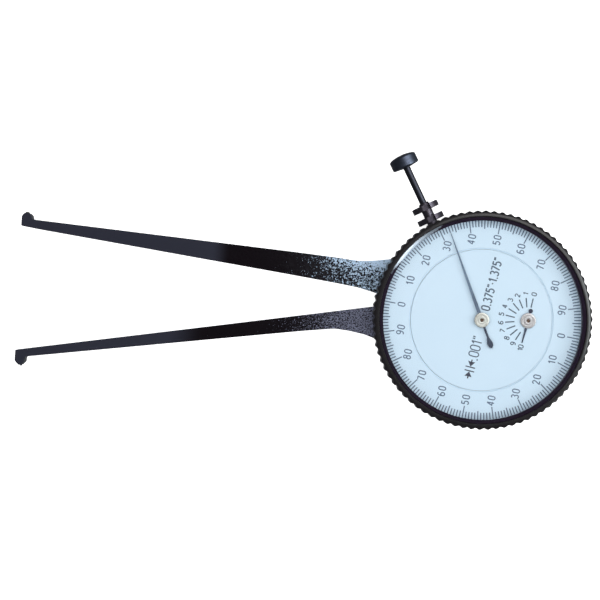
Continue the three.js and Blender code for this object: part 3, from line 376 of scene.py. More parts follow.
# Hand lacquer: a blue-grey sheen along the pointer, near black on the tail past the hub
def blueHandLacquer(name, settings):
    material, tree, shader, rub = startLacquer(name, settings)
    along = axesOf(tree, turnedPoint(tree, settings["centre"], (0, 0, settings["turn"])))["X"]
    pointer = fade(tree, along, -settings["sheenFade"], settings["sheenFade"])
    strip = mixColours(tree, pointer, settings["paint"], settings["sheen"])
    setNode(tree, shader, {"Base Color": mixColours(tree, rub, strip, settings["rubWearAndGlint"])})
    return material


# Turned metal: rings of tool marks about the axis of its piece, slightly stained
def turnedMetal(name, settings):
    material, tree, shader = newMaterial(name, settings["metal"])
    centred = turnedPoint(tree, settings["centre"], settings["axisTurn"])
    flat = addNode(tree, "ShaderNodeVectorMath", {"operation": "MULTIPLY", 0: centred, 1: (1, 1, 0)})
    radius = addNode(tree, "ShaderNodeVectorMath", {"operation": "LENGTH", 0: flat.outputs["Vector"]})
    marks = addNode(tree, "ShaderNodeTexNoise", {
        "noise_dimensions": "1D", "Scale": 1 / (settings["markPitch"] * mm), "Detail": 3.0,
        "W": maths(tree, "ADD", radius.outputs["Value"], axesOf(tree, centred)["Z"])}).outputs["Fac"]
    stained = noise(tree, objectPoint(tree), settings["stainSize"], 3.0)
    roughness = settings["roughness"]
    setNode(tree, shader, {
        "Base Color": mixColours(tree, stained, settings["metal"], settings["stain"]),
        "Roughness": mapRange(tree, marks, 0.3, 0.7, roughness * 0.8, roughness * 1.25),
        "Normal": bump(tree, marks, settings["markStrength"], 0.01), "Metallic": settings["metallic"]})
    return material


# Printed dial: lacquered aluminium, pale blue, with a very fine eggshell surface
def dialLacquer(name, settings):
    material, tree, shader = newMaterial(name, settings["face"])
    point = objectPoint(tree)
    eggshell = noise(tree, point, settings["eggshellSize"], 2.0)
    setNode(tree, shader, {
        "Base Color": mixColours(
            tree, noise(tree, point, settings["cloudSize"], 2.0), settings["face"], settings["shade"]),
        "Roughness": settings["roughness"], "Normal": bump(tree, eggshell, 0.06, 0.01)})
    return material


# Screen-printed ink: matt, slightly uneven where it was pressed through the mesh
def printedInk(name, settings):
    material, tree, shader = newMaterial(name, settings["ink"])
    cover = noise(tree, objectPoint(tree), 0.35, 2.0)
    setNode(tree, shader, {
        "Base Color": mixColours(tree, cover, settings["ink"], settings["thin"]), "Roughness": 0.55})
    return material


# Cast acrylic crystal: clear and coated, with a dulled reflection that grows towards its edge
def clearAcrylic(name, settings):
    material, tree, shader = newMaterial(name, settings["clear"])
    tree.nodes.remove(shader)
    outside = maths(tree, "SUBTRACT", 1.0, addNode(tree, "ShaderNodeNewGeometry", {}).outputs["Backfacing"])
    fresnel = addNode(tree, "ShaderNodeFresnel", {"IOR": settings["ior"]}).outputs["Fac"]
    clear = addNode(tree, "ShaderNodeBsdfTransparent", {"Color": toLinear(settings["clear"])})
    gloss = addNode(tree, "ShaderNodeBsdfGlossy", {
        "Color": toLinear(settings["gloss"]), "Roughness": settings["roughness"]})
    both = addNode(tree, "ShaderNodeMixShader", {
        0: maths(tree, "MULTIPLY", fresnel, outside), 1: clear.outputs["BSDF"], 2: gloss.outputs["BSDF"]})
    setNode(tree, tree.nodes["Material Output"], {"Surface": both.outputs["Shader"]})
    return material


plungerAngle = 119
pivotPlace = (-17, 0.9)
counterPlace = (10.585, 0.555)

# The pale crest colour and the keys that place it paint glints on the wrinkle, more at the fixed leg's upper
# edge
enamelSizes = {
    "paint": 0x080507, "mottle": 0x100A0E, "mottleSize": 0.7, "slate": 0x272832, "slateEnd": -60.5,
    "slateFade": 2.2, "roughness": 0.19, "shine": 0.12, "peelSize": 0.5, "peelDepth": 0.03, "patchSize": 9,
    "wrinkleSize": 0.36, "wrinkleDepth": 0.22, "wrinkleStart": -57, "wrinkleFull": -24, "paintedGlint": 0xB2CAE2,
    "crestFloor": 0.488, "glintFade": 0.09, "glintReach": 0.27, "edgeGlintStart": 8.0, "edgeGlintFull": 12.5,
    "edgeGlintLift": 0.14
}
legEnamel = blackEnamel("black_stove_enamel_on_forging", {
    **enamelSizes, "wrinkleDepth": 0.16, "wrinkleSize": 0.3, "wrinkleStart": -58, "crestFloor": 0.425,
    "paintedGlint": 0x6C6F82, "edgeGlintLift": 0.0, "slateEnd": -67.7, "slateFade": 4.5
})
fixedLegEnamel = blackEnamel("black_stove_enamel_on_fixed_leg", enamelSizes)
caseEnamel = blackEnamel("black_stove_enamel_on_casting", {**enamelSizes, "edgeGlintLift": 0.0, "paintedGlint": 0x8E9CAE})
satinSizes = {"shine": 0.5, "rubDetail": 3.0}
coverEnamel = satinLacquer("satin_black_enamel_on_cover", {
    **satinSizes, "paint": 0x1A1A1E, "rubWearAndGlint": 0x222227, "roughness": 0.4, "grainSize": 0.3, "rubSize": 8})
bezelLacquer = satinLacquer("satin_black_lacquer_on_knurl", {
    **satinSizes, "paint": 0x121012, "rubWearAndGlint": 0x1A181A, "roughness": 0.36, "grainSize": 0.15, "rubSize": 6,
    "shine": 0.28})
lipSizes = {
    **satinSizes, "paint": 0x1B1420, "rubWearAndGlint": 0x241B29, "roughness": 0.14, "grainSize": 0.4, "rubSize": 6,
    "shine": 0.15}
bezelGloss = satinLacquer("gloss_black_lacquer_on_lip", lipSizes)
# Bare metal on the lip's upper left side, placed there because the highlight falls there: a painted highlight
bareMetalHighlightLip = wornLacquer("lacquer_with_bare_metal_highlight_on_lip", {
    **lipSizes, "bare": 0xB4C0CC, "bareRoughness": 0.32, "turn": 137, "from": 21.1, "to": 23.0,
    "breakupSize": 0.5})
spacerPlastic = satinLacquer("moulded_black_acetal", {
    **satinSizes, "paint": 0x261C2B, "rubWearAndGlint": 0x2D2232, "roughness": 0.5, "grainSize": 0.2, "rubSize": 4})
dialTurned = {
    "metallic": 1.0, "centre": (0, 0, 0), "axisTurn": (0, 0, 0), "markPitch": 0.2, "markStrength": 0.3}
plungerTurned = {
    **dialTurned, "centre": (0, 0, 4), "axisTurn": (0, 90, plungerAngle), "markPitch": 0.25,
    "markStrength": 0.4}
contactTurned = {**dialTurned, "axisTurn": (90, 0, 0), "markPitch": 0.12}
knobSteel = turnedMetal("blued_turned_knob_steel", {
    **plungerTurned, "metal": 0x4A515F, "stain": 0x353741, "roughness": 0.44, "stainSize": 2.5})
guideSteel = turnedMetal("oil_blackened_guide_steel", {
    **plungerTurned, "metal": 0x53525D, "stain": 0x413A3D, "roughness": 0.45, "stainSize": 1.6})
blackenedSteel = turnedMetal("blackened_turned_steel", {
    **plungerTurned, "metal": 0x393A41, "stain": 0x2B2C33, "roughness": 0.45, "stainSize": 3,
    "markStrength": 0.5})
# The fixed contact's pale carbide is a painted highlight on its dome, and the moving contact's carbide stays
# dark
paleHighlightCarbide = turnedMetal("carbide_painted_pale_as_highlight", {
    **contactTurned, "metal": 0xC9C4B6, "stain": 0xA9A69C, "roughness": 0.28, "centre": (-105.9, 0, 4),
    "stainSize": 0.8})
darkCarbide = turnedMetal("sintered_dark_carbide", {
    **contactTurned, "metal": 0x5C6676, "stain": 0x49505E, "roughness": 0.4, "centre": (-105.0, 0, 4),
    "stainSize": 0.6})
screwSteel = turnedMetal("blackened_screw_steel", {
    **dialTurned, "metal": 0x47474B, "stain": 0x333237, "roughness": 0.36, "stainSize": 2})
brightSteel = turnedMetal("turned_bright_steel", {
    **dialTurned, "metal": 0xC4C8CC, "stain": 0xA8ACB2, "roughness": 0.25, "stainSize": 2,
    "markStrength": 0.4})
springSteel = turnedMetal("tempered_spring_steel", {
    **dialTurned, "metal": 0x7C828E, "stain": 0x5F6878, "roughness": 0.3, "stainSize": 1.5, "markPitch": 0.3,
    "markStrength": 0.2})
movementBrass = turnedMetal("grained_brass", {
    **dialTurned, "metal": 0xC9A558, "stain": 0xB08C42, "roughness": 0.3, "stainSize": 4, "markStrength": 0.4})
arborSteel = turnedMetal("browned_arbor_steel", {
    **dialTurned, "metal": 0x7A6354, "stain": 0x5A463C, "roughness": 0.35, "stainSize": 1})
hubTurned = {**dialTurned, "metallic": 0.6, "roughness": 0.42, "stainSize": 1.2}
mainHubSteel = turnedMetal("polished_main_hub_steel", {
    **hubTurned, "metal": 0xD6D4CC, "stain": 0x968C80, "markPitch": 0.22, "markStrength": 0.7})
smallHubSteel = turnedMetal("polished_small_hub_steel", {
    **hubTurned, "metal": 0xC6C0BE, "stain": 0x857A78, "centre": (*counterPlace, 0), "markPitch": 0.25,
    "markStrength": 0.8})
handSizes = {
    "roughness": 0.3, "shine": 0.5, "grainSize": 0.2, "rubSize": 4, "rubDetail": 2.0, "sheenFade": 1.5}
mainHandLacquer = blueHandLacquer("blue_grey_main_hand_lacquer", {
    **handSizes, "paint": 0x1C1A28, "sheen": 0x74889E, "rubWearAndGlint": 0x3E4658, "turn": 113.5, "centre": (0, 0, 0)})
smallHandLacquer = blueHandLacquer("blue_grey_small_hand_lacquer", {
    **handSizes, "paint": 0x262433, "sheen": 0x3C4358, "rubWearAndGlint": 0x35364A, "turn": 258.7,
    "centre": (*counterPlace, 0)})
dialBlue = dialLacquer("pale_blue_dial_lacquer", {
    "face": 0xCDDCE8, "shade": 0xC7D8E5, "roughness": 0.42, "cloudSize": 12, "eggshellSize": 0.25})
scaleInk = printedInk("grey_blue_scale_ink", {"ink": 0x46536A, "thin": 0x5F6D86})
wordInk = printedInk("slate_word_ink", {"ink": 0x36414F, "thin": 0x4B586B})
markInk = printedInk("black_mark_ink", {"ink": 0x2E2C39, "thin": 0x3F3F50})
acrylic = clearAcrylic("clear_cast_acrylic", {
    "clear": 0xFBFDFE, "gloss": 0xA4A8AC, "roughness": 0.03, "ior": 1.49})
print("materials made")

# Camera: straight down on the middle of the picture, at the photograph's distance and tilt
camera = {"x": -41.46, "y": 1.71, "height": 424.2, "turn": 3.94, "lens": 108.66}
cameraData = bpy.data.cameras.new("camera")
cameraData.lens = camera["lens"]
cameraData.sensor_width = 36
cameraObject = bpy.data.objects.new("camera", cameraData)
cameraObject.location = (camera["x"] * mm, camera["y"] * mm, camera["height"] * mm)
cameraObject.rotation_euler = (0, 0, math.radians(camera["turn"]))
scene.collection.objects.link(cameraObject)
scene.camera = cameraObject


# Case: wall with the legs' opening, web across it, groove for the snap ring, and the plunger's boss
case = {
    "outside": 22.6, "inside": 20.9, "bottom": 1.4, "webBottom": 6.2, "webTop": 7.4, "grooveBottom": 9.0,
    "grooveTop": 10.3, "grooveRadius": 21.75, "top": 11.4, "slotStart": 169.5, "slotEnd": 199.0,
    "screwCircle": 19.2, "screwAngles": (80, 150, 235, 325), "screwBoss": 1.6, "screwHole": 0.7,
    "bossRadius": 2.32, "bossStart": 19.6, "bossEnd": 24.3, "bossBore": 1.32, "steps": 144, "openSteps": 12
}


def caseShape():
    bm = bmesh.new()
    inside, outside, groove, bottom, top = pick(case, "inside outside grooveRadius bottom top")
    webBottom, webTop, grooveBottom, grooveTop = pick(case, "webBottom webTop grooveBottom grooveTop")
    upper = [
        (0, webBottom), (inside, webBottom), (outside, webBottom), (outside, grooveBottom),
        (groove, grooveBottom), (groove, grooveTop), (outside, grooveTop), (outside, top), (inside, top),
        (inside, webTop), (0, webTop)
    ]
    lower = [(inside, webBottom), (inside, bottom), (outside, bottom), (outside, webBottom)]
    opening = case["slotEnd"] - case["slotStart"]
    closedSteps = case["steps"] - case["openSteps"]

    def sweep(profile, start, turn, steps, caps=False):
        corners = [bm.verts.new((*polar(radius, start), height)) for radius, height in profile]
        edges = [bm.edges.new(pair) for pair in zip(corners, corners[1:])]
        if caps:
            bm.faces.new(corners)
        made = bmesh.ops.spin(
            bm, geom=corners + edges, axis=(0, 0, 1), cent=(0, 0, 0), angle=math.radians(turn),
            steps=steps)["geom_last"]
        if caps:
            bm.faces.new([v for v in made if isinstance(v, bmesh.types.BMVert)])

    sweep(upper, case["slotStart"], opening, case["openSteps"])
    for profile, caps in ((upper[:2], False), (upper[2:], False), (lower, True)):
        sweep(profile, case["slotEnd"], 360 - opening, closedSteps, caps)
    return cleanShape(bm)


plungerPlace = (
    Matrix.Translation((0, 0, 4)) @ Matrix.Rotation(math.radians(plungerAngle), 4, "Z")
    @ Matrix.Rotation(math.radians(90), 4, "Y"))
bore, radius, start, end = pick(case, "bossBore bossRadius bossStart bossEnd")
guideBoss = spinShape([
    (bore, start), (radius, start), (radius, end - 0.3), (radius - 0.1, end - 0.08), (radius - 0.3, end),
    (bore, end)], 48, plungerPlace)
bossProfile = tubeProfile(*pick(case, "screwHole screwBoss bottom webBottom"))
screwPlaces = [polar(case["screwCircle"], angle) for angle in case["screwAngles"]]
coverBosses = [spinShape(bossProfile, 32, at(*place)) for place in screwPlaces]
finishPiece("case_casting", [caseShape(), guideBoss, *coverBosses], [caseEnamel], "frame",
            ["body_frame"], bevel=0.15)

# Fixed leg: one forging with the case, wide at its root and narrow at the domed tip
fixedLeg = {"bottom": 2.0, "top": 6.0, "edge": 0.25, "tipX": -105.725, "tipY": 16.35, "tipRadius": 1.185}
fixedOutline = roundCorners([
    (-17.71, 12.63), (-20.80, 12.66, 6), (-24.51, 12.02, 10), (-28.20, 11.63, 12), (-32.90, 12.04, 30),
    (-42.20, 12.64, 60), (-103.10, 15.98), (-104.10, 16.05), (-104.54, 16.18)
] + roundArc(fixedLeg["tipX"], fixedLeg["tipY"], fixedLeg["tipRadius"], 4, 180, 14) + [
    (-106.90, 14.44, 0.12), (-103.31, 13.98, 6), (-42.20, 7.25, 80), (-32.90, 6.17, 30), (-28.20, 5.55, 8),
    (-24.97, 4.78, 3), (-23.51, 4.40, 2), (-21.39, 3.96)
], 4)
fixedBar = plateShape(fixedOutline, *pick(fixedLeg, "bottom top edge"))
finishPiece("fixed_leg_forging", [fixedBar], [fixedLegEnamel], "frame", ["body_frame"])

# Moving leg: hub round the pivot, a tail inside the case, and a tapered nose at the tip
movingLeg = {
    "bottom": 2.0, "top": 6.0, "insideBottom": 3.0, "edge": 0.25, "hubRadius": 3.38, "hubBore": 2.48,
    "tailLength": 7.6, "tailWidth": 5.4, "tailTurn": 7.7, "joinX": -19.5
}
movingOutline = roundCorners([
    (-20.90, 1.92), (-22.60, 1.66, 4), (-24.50, 1.36, 4), (-26.10, 1.05, 12), (-59.50, -5.36, 80),
    (-106.30, -14.26, 0.12), (-106.30, -16.74, 0.2), (-105.40, -17.68, 0.1), (-104.74, -17.68, 0.1),
    (-104.02, -16.86, 0.3), (-103.98, -15.66, 0.6), (-102.25, -15.42, 8), (-41.22, -5.51, 60),
    (-34.32, -4.50, 20), (-32.90, -4.34, 8), (-29.75, -4.61, 12), (-26.09, -5.20, 12), (-23.26, -6.12, 4),
    (-21.30, -6.60, 1.5), (-20.90, -6.22)
], 4)
bottom, top, joinX, bore = pick(movingLeg, "insideBottom top joinX hubBore")
hubRing = spinShape(tubeProfile(bore, movingLeg["hubRadius"], bottom, top), 48, at(*pivotPlace))
hubJoin = plateShape([(-20.90, 1.92), (-20.90, -6.22), (joinX, -4.88), (joinX, 2.75)], bottom, top)
end, half = movingLeg["tailLength"], movingLeg["tailWidth"] / 2
tailPlate = plateShape(
    roundCorners([(bore, half), (end, half, 0.8), (end, -half, 0.8), (bore, -half)]), bottom, top, 0.2, 2,
    at(*pivotPlace, turn=movingLeg["tailTurn"]))
movingBar = plateShape(movingOutline, *pick(movingLeg, "bottom top edge"))
finishPiece("moving_leg_forging", [movingBar, hubRing, hubJoin, tailPlate], [legEnamel], "leg",
            ["moving_leg"])
print("case and legs made")

# Contacts: a domed pin in the fixed leg, and a tapered one in the moving leg. The fixed pin's pale colour is a
# painted highlight
contacts = {
    "fixed": (-105.9, 15.46, 4), "fixedRadius": 0.6, "fixedLength": 2.4, "moving": (-105.0, -15.68, 4),
    "movingRadius": 0.5, "movingLength": 2.35, "movingCone": 0.62, "movingTip": 0.14
}
radius, end = pick(contacts, "fixedRadius fixedLength")
domedProfile = [(0, 0), (radius, 0)] + roundArc(0, end - radius, radius, 0, 90, 8)
radius, end, cone, tip = pick(contacts, "movingRadius movingLength movingCone movingTip")
taperedProfile = [(0, 0), (radius, 0), (radius, end - cone)] + roundArc(0, end - tip, tip, 20, 90, 4)
for leg, profile, turn, carbide, body in (
        ("fixed", domedProfile, -90, paleHighlightCarbide, "frame"),
        ("moving", taperedProfile, 90, darkCarbide, "leg")):
    place = Matrix.Translation(contacts[leg]) @ Matrix.Rotation(math.radians(turn), 4, "X")
    finishPiece(f"{leg}_contact_pin", [spinShape(profile, 32, place)], [carbide], body,
                [f"{leg}_contact"])

# Back cover: a flat disc with a chamfered rim, and four slotted screws sunk in it
cover = {
    "edge": 0.25, "headHole": 1.6, "head": 1.5, "sink": 0.1, "headHeight": 0.8, "slotWidth": 0.4,
    "slotDepth": 0.35, "shank": 0.6, "point": 0.4, "pointStart": 3.3, "shankEnd": 3.5
}
coverOutlines = [roundArc(0, 0, case["outside"], 0, 360, case["steps"])]
coverOutlines += [roundArc(*place, cover["headHole"], 0, 360, 40) for place in screwPlaces]
coverPlate = curveShape(coverOutlines, {
    "dimensions": "2D", "fill_mode": "BOTH", "extrude": case["bottom"] / 2 - cover["edge"],
    "bevel_depth": cover["edge"], "bevel_resolution": 2, "offset": -cover["edge"]
}, at(0, 0, case["bottom"] / 2))
finishPiece("back_cover_plate", [coverPlate], [coverEnamel], "frame", ["back_cover"])
headTop = cover["sink"] + cover["headHeight"]
shank, point, pointStart, end = pick(cover, "shank point pointStart shankEnd")
for number, (angle, place) in enumerate(zip(case["screwAngles"], screwPlaces), 1):
    head = slottedHead(cover["head"], -headTop, -cover["sink"], *pick(cover, "slotWidth slotDepth"),
                       at(*place, turn=angle) @ Matrix.Rotation(math.pi, 4, "X"))
    thread = spinShape([
        (0, headTop), (shank, headTop), (shank, pointStart), (point, end), (0, end)], 24, at(*place))
    finishPiece(f"cover_screw_{number}", [head, thread], [screwSteel], "frame",
                [f"back_cover_screw_{number}"], bevel=0.06)
print("contacts and cover made")

# Bezel: knurled ring with a rounded crown, a groove, and a glossy lip round the window
bezel = {
    "radius": 24.8, "bottom": 8.6, "top": 16.65, "ridges": 82, "depth": 0.43, "stepsPerRidge": 8,
    "chamfer": 0.5, "bore": 22.9, "seat": 23.3, "window": 22.48, "crownStart": 15.5, "crownInside": 23.5,
    "landInside": 23.4, "grooveInside": 23.28, "grooveFloor": 16.1, "lipTop": 16.45, "lipEdge": 15.8,
    "lipBand": 23.2, "lipBandHeight": 16.4, "lipBottom": 15.5, "scaleSeat": 11.8, "snapTop": 10.3,
    "snapBottom": 9.0, "snapRadius": 23.35
}


def bezelShape():
    bottom, top, bore, seat, scaleSeat = pick(bezel, "bottom top bore seat scaleSeat")
    radius, window, land, groove = pick(bezel, "radius window landInside grooveInside")
    lipTop, lipEdge, lipBottom = pick(bezel, "lipTop lipEdge lipBottom")
    snapRadius, snapBottom, snapTop, floor = pick(bezel, "snapRadius snapBottom snapTop grooveFloor")
    inner, start = pick(bezel, "crownInside crownStart")
    outside = [(bore, bottom), (radius - bezel["chamfer"], bottom), (radius, bottom + bezel["chamfer"])]
    crown = arc(inner, start, radius - inner, top - start, 0, 90, 8)
    rim = [(land + 0.06, top), (land, top - 0.06), (land - 0.04, floor), (groove, floor),
           (groove, lipTop - 0.05)]
    lip = [(groove - 0.02, lipTop), (bezel["lipBand"], bezel["lipBandHeight"]),
           (window + 0.08, lipEdge + 0.05), (window, lipEdge - 0.05), (window, lipBottom), (seat, lipBottom)]
    inside = [(seat, scaleSeat), (bore, scaleSeat), (bore, snapTop), (snapRadius, snapTop),
              (snapRadius, snapBottom), (bore, snapBottom)]
    bm = spinShape(outside + crown + rim + lip + inside, bezel["ridges"] * bezel["stepsPerRidge"])
    # The knurl: corners beyond a wavy outline are drawn in to it
    for corner in bm.verts:
        turn = math.atan2(corner.co.y, corner.co.x) / math.tau * bezel["ridges"]
        scallop = radius - bezel["depth"] * (1 - math.cos(math.tau * turn)) / 2
        reach = math.hypot(corner.co.x, corner.co.y)
        if reach > scallop:
            corner.co.x *= scallop / reach
            corner.co.y *= scallop / reach
    # The lip's wall is gloss black, and its slope carries the bare metal patch that stands in for the lip's
    # highlight
    for face in bm.faces:
        middle = face.calc_center_median()
        if middle.z > lipBottom - 0.1 and middle.xy.length < groove + 0.02:
            face.material_index = 2 if middle.z > lipEdge else 1
    return bm


finishPiece("knurled_bezel", [bezelShape()], [bezelLacquer, bezelGloss, bareMetalHighlightLip], "bezel",
            ["bezel_ring"], smooth=40)

# Crystal: a flat-backed acrylic disc with a low dome, on a thin spacer
glass = {
    "radius": 23.2, "bottom": 14.3, "edgeTop": 15.4, "crown": 0.5, "spacerInside": 22.75, "spacerBottom": 12.2,
    "spacerEdge": 0.15
}


def crystalShape():
    radius, bottom, edgeTop, crown = pick(glass, "radius bottom edgeTop crown")
    bulge = (radius ** 2 + crown ** 2) / 2 / crown
    dome = []
    for step in range(13):
        reach = radius * (1 - step / 12)
        dome.append((reach, edgeTop + crown - bulge + math.sqrt(bulge ** 2 - reach ** 2)))
    return spinShape([(0, bottom), (radius, bottom)] + dome, 144)


radius, top, inside = pick(glass, "radius bottom spacerInside")
bottom, edge = pick(glass, "spacerBottom spacerEdge")
spacerRing = spinShape([
    (inside, bottom), (radius, bottom), (radius, top), (inside + edge, top), (inside, top - edge)], 144)
finishPiece("acrylic_crystal", [crystalShape()], [acrylic], "bezel", ["crystal"])
finishPiece("crystal_spacer_ring", [spacerRing], [spacerPlastic], "bezel", ["crystal_spacer"])
print("bezel and crystal made")

# Dial plates: the outer ring turns with the bezel, the disc inside it stays on two feet
dial = {
    "bottom": 11.8, "top": 12.2, "ringInside": 16.38, "ledgeInside": 16.15, "ledgeTop": 11.92,
    "ringOutside": 23.2, "discRadius": 16.1, "hole": 1.0, "edge": 0.08, "footRadius": 0.6, "footBottom": 10.1,
    "footTop": 11.85, "footCircle": 12, "footAngles": (135, 315), "relief": 0.03
}
bottom, top, edge, hole, radius = pick(dial, "bottom top edge hole discRadius")
ledge, ledgeTop, inside, outside = pick(dial, "ledgeInside ledgeTop ringInside ringOutside")
scaleRing = spinShape([
    (ledge, bottom), (outside, bottom), (outside, top), (inside + edge, top), (inside, top - edge),
    (inside, ledgeTop), (ledge, ledgeTop)], 180)
disc = spinShape([
    (hole, bottom), (radius, bottom), (radius, top - edge), (radius - edge, top), (hole, top)], 180)
footProfile = tubeProfile(0, *pick(dial, "footRadius footBottom footTop"))
feet = [spinShape(footProfile, 20, at(*polar(dial["footCircle"], angle))) for angle in dial["footAngles"]]
finishPiece("turning_scale_ring", [scaleRing], [dialBlue], "bezel", ["scale_ring"])
finishPiece("fixed_dial_disc", [disc, *feet], [dialBlue], "frame", ["dial_disc"])


# Lines of ink: each stroke is a list of (x, y), and the band is flat
def inkShape(strokes, width):
    return curveShape(strokes, {
        "dimensions": "3D", "twist_mode": "Z_UP", "bevel_depth": width / 2, "bevel_resolution": 1,
        "use_fill_caps": True
    }, at(z=dial["top"]) @ Matrix.Diagonal((1, 1, dial["relief"] / width, 1)))


def printPiece(name, shapes, ink, body="frame"):
    finishPiece(name, shapes, [ink], body)


def inkBar(length, width, place):
    bm = bmesh.new()
    bmesh.ops.create_cube(bm, size=1, matrix=place @ Matrix.Diagonal((length, width, dial["relief"], 1)))
    return bm


# Figures of a plain engineer's alphabet, one unit high on the middle of the line, as strokes
figures = {
    "0": (0.46, [arc(0.23, 0.74, 0.23, 0.26, 0, 180, 8) + arc(0.23, 0.26, 0.23, 0.26, 180, 360, 8)
                 + [(0.46, 0.74)]]),
    "1": (0.28, [[(0.02, 0.76), (0.24, 1.02)], [(0.22, 1.04), (0.22, 0)]]),
    "2": (0.46, [arc(0.23, 0.76, 0.22, 0.24, 170, -35, 8) + [(0.04, 0.05)], [(0, 0.02), (0.46, 0.02)]]),
    "3": (0.46, [arc(0.22, 0.77, 0.20, 0.23, 150, -80, 8) + arc(0.22, 0.28, 0.24, 0.28, 80, -150, 9)]),
    "4": (0.48, [[(0.36, 0), (0.36, 1.03)], [(0.34, 1.0), (0.02, 0.3)], [(-0.04, 0.28), (0.5, 0.28)]]),
    "5": (0.46, [[(0.44, 0.98), (0.04, 0.98)], [(0.08, 1.0), (0.05, 0.52)],
                 arc(0.22, 0.31, 0.24, 0.31, 130, -150, 10)]),
    "6": (0.46, [arc(0.25, 0.5, 0.25, 0.5, 60, 180, 6) + arc(0.23, 0.28, 0.23, 0.28, 180, 540, 14)]),
    "7": (0.44, [[(-0.02, 0.98), (0.46, 0.98)], [(0.42, 0.98), (0.15, 0)]]),
    "8": (0.46, [arc(0.23, 0.77, 0.20, 0.23, -90, 270, 12), arc(0.23, 0.27, 0.23, 0.27, 90, 450, 14)]),
    "9": (0.46, [arc(0.21, 0.5, 0.25, 0.5, 240, 360, 6) + arc(0.23, 0.72, 0.23, 0.28, 0, 360, 14)]),
    ".": (0.17, [[(0, 0.02), (0.17, 0.02)]]),
    "-": (0.16, [[(0, 0.42), (0.16, 0.42)]]),
    "\"": (0.26, [[(0.05, 1.0), (0.02, 0.74)], [(0.24, 1.0), (0.21, 0.74)]])
}


# The strokes of a row of figures, centred on (x, y), reading along turn
def writeFigures(text, x, y, turn, height, gap, stretch=1.0):
    widths = [figures[sign][0] * stretch for sign in text]
    start = -(sum(widths) + gap * (len(text) - 1)) / 2
    along = Vector(polar(1, turn))
    up = Vector(polar(1, turn + 90))
    strokes = []
    for sign, width in zip(text, widths):
        for stroke in figures[sign][1]:
            strokes.append([
                tuple(Vector((x, y)) + height * ((start + px * stretch) * along + (py - 0.5) * up))
                for px, py in stroke])
        start += width + gap
    return strokes


# Main scale: 200 lines, numbered in tens to 90 twice round
mainScale = {
    "lines": 200, "zero": 172.8, "edge": 22.7, "short": 1.57, "five": 1.96, "ten": 2.8, "lineWidth": 0.25,
    "figureRadius": 18.5, "figureHeight": 1.6, "figureGap": 0.34, "stroke": 0.26, "figures": 20
}


def scaleLines():
    lines = []
    zero, edge, width = pick(mainScale, "zero edge lineWidth")
    for number in range(mainScale["lines"]):
        length = mainScale["ten" if number % 10 == 0 else "five" if number % 5 == 0 else "short"]
        turn = zero - number * 360 / mainScale["lines"]
        lines.append(inkBar(length, width, at(*polar(edge - length / 2, turn), dial["top"], turn)))
    return lines


scaleFigures = []
zero, reach, height, gap = pick(mainScale, "zero figureRadius figureHeight figureGap")
for label in range(mainScale["figures"]):
    middle = polar(reach, zero - label * 360 / mainScale["figures"])
    scaleFigures += writeFigures(str(label % 10 * 10), *middle, zero - 90, height, gap)
printPiece("main_scale_print", [*scaleLines(), inkShape(scaleFigures, mainScale["stroke"])], scaleInk, "bezel")

# Prints of the fixed disc: the turn counter's scale, the range, and the value of one line
counterScale = {
    "inside": 3.06, "outside": 5.2, "start": 80.5, "step": 17.82, "lines": 11, "lineWidth": 0.29,
    "figureRadius": 6.2, "lastRadius": 6.35, "figureHeight": 1.08, "stroke": 0.23, "figureGap": 0.2,
    "stretch": 1.25
}
discTurn = 79.6   # the way in which the disc's rows read
counterLines = []
counterFigures = []
inside, outside, width = pick(counterScale, "inside outside lineWidth")
height, gap, stretch = pick(counterScale, "figureHeight figureGap stretch")
length = outside - inside
for number in range(counterScale["lines"]):
    turn = counterScale["start"] + number * counterScale["step"]
    middle = polar(inside + length / 2, turn, *counterPlace)
    counterLines.append(inkBar(length, width, at(*middle, dial["top"], turn)))
    place = polar(counterScale["lastRadius" if number == 10 else "figureRadius"], turn, *counterPlace)
    counterFigures += writeFigures(str(number), *place, discTurn, height, gap, stretch)
printPiece("turn_counter_print", [*counterLines, inkShape(counterFigures, counterScale["stroke"])], wordInk)

rangeWords = {"text": '0.375"-1.375"', "place": (1.82, 8.3), "height": 1.87, "stroke": 0.33, "gap": 0.165}
lineValue = {
    "text": '.001"', "place": (-0.94, -6.52), "height": 2.25, "stroke": 0.27, "gap": 0.18,
    "marks": (-1.84, -11.29), "barGap": 0.87, "barLength": 2.24, "barWidth": 0.26, "arrowLength": 1.2,
    "arrowWidth": 1.7, "arrowNotch": 0.92, "stem": 0.45, "stemWidth": 0.3
}


def intervalMarks():
    shapes = []
    height, relief = pick(dial, "top relief")
    gap, width, barLength = pick(lineValue, "barGap barWidth barLength")
    length, half = lineValue["arrowLength"], lineValue["arrowWidth"] / 2
    tip = (gap + width) / 2
    notch = tip + length * lineValue["arrowNotch"]
    reach = length + lineValue["stem"]
    arrow = [(tip, 0), (tip + length, half), (notch, 0), (tip + length, -half)]
    for turn in (discTurn, discTurn + 180):
        place = at(*lineValue["marks"], turn=turn)
        shapes.append(inkBar(width, barLength, place @ at(gap / 2, 0, height)))
        shapes.append(plateShape(arrow, height - relief / 2, height + relief / 2, place=place))
        shapes.append(inkBar(reach / 2, lineValue["stemWidth"], place @ at(tip + reach * 0.75, 0, height)))
    return shapes


for name, words in (("range_print", rangeWords), ("line_value_print", lineValue)):
    strokes = writeFigures(words["text"], *words["place"], discTurn, words["height"], words["gap"])
    printPiece(name, [inkShape(strokes, words["stroke"])], wordInk)
printPiece("interval_mark_print", intervalMarks(), markInk)
print("dial printed")

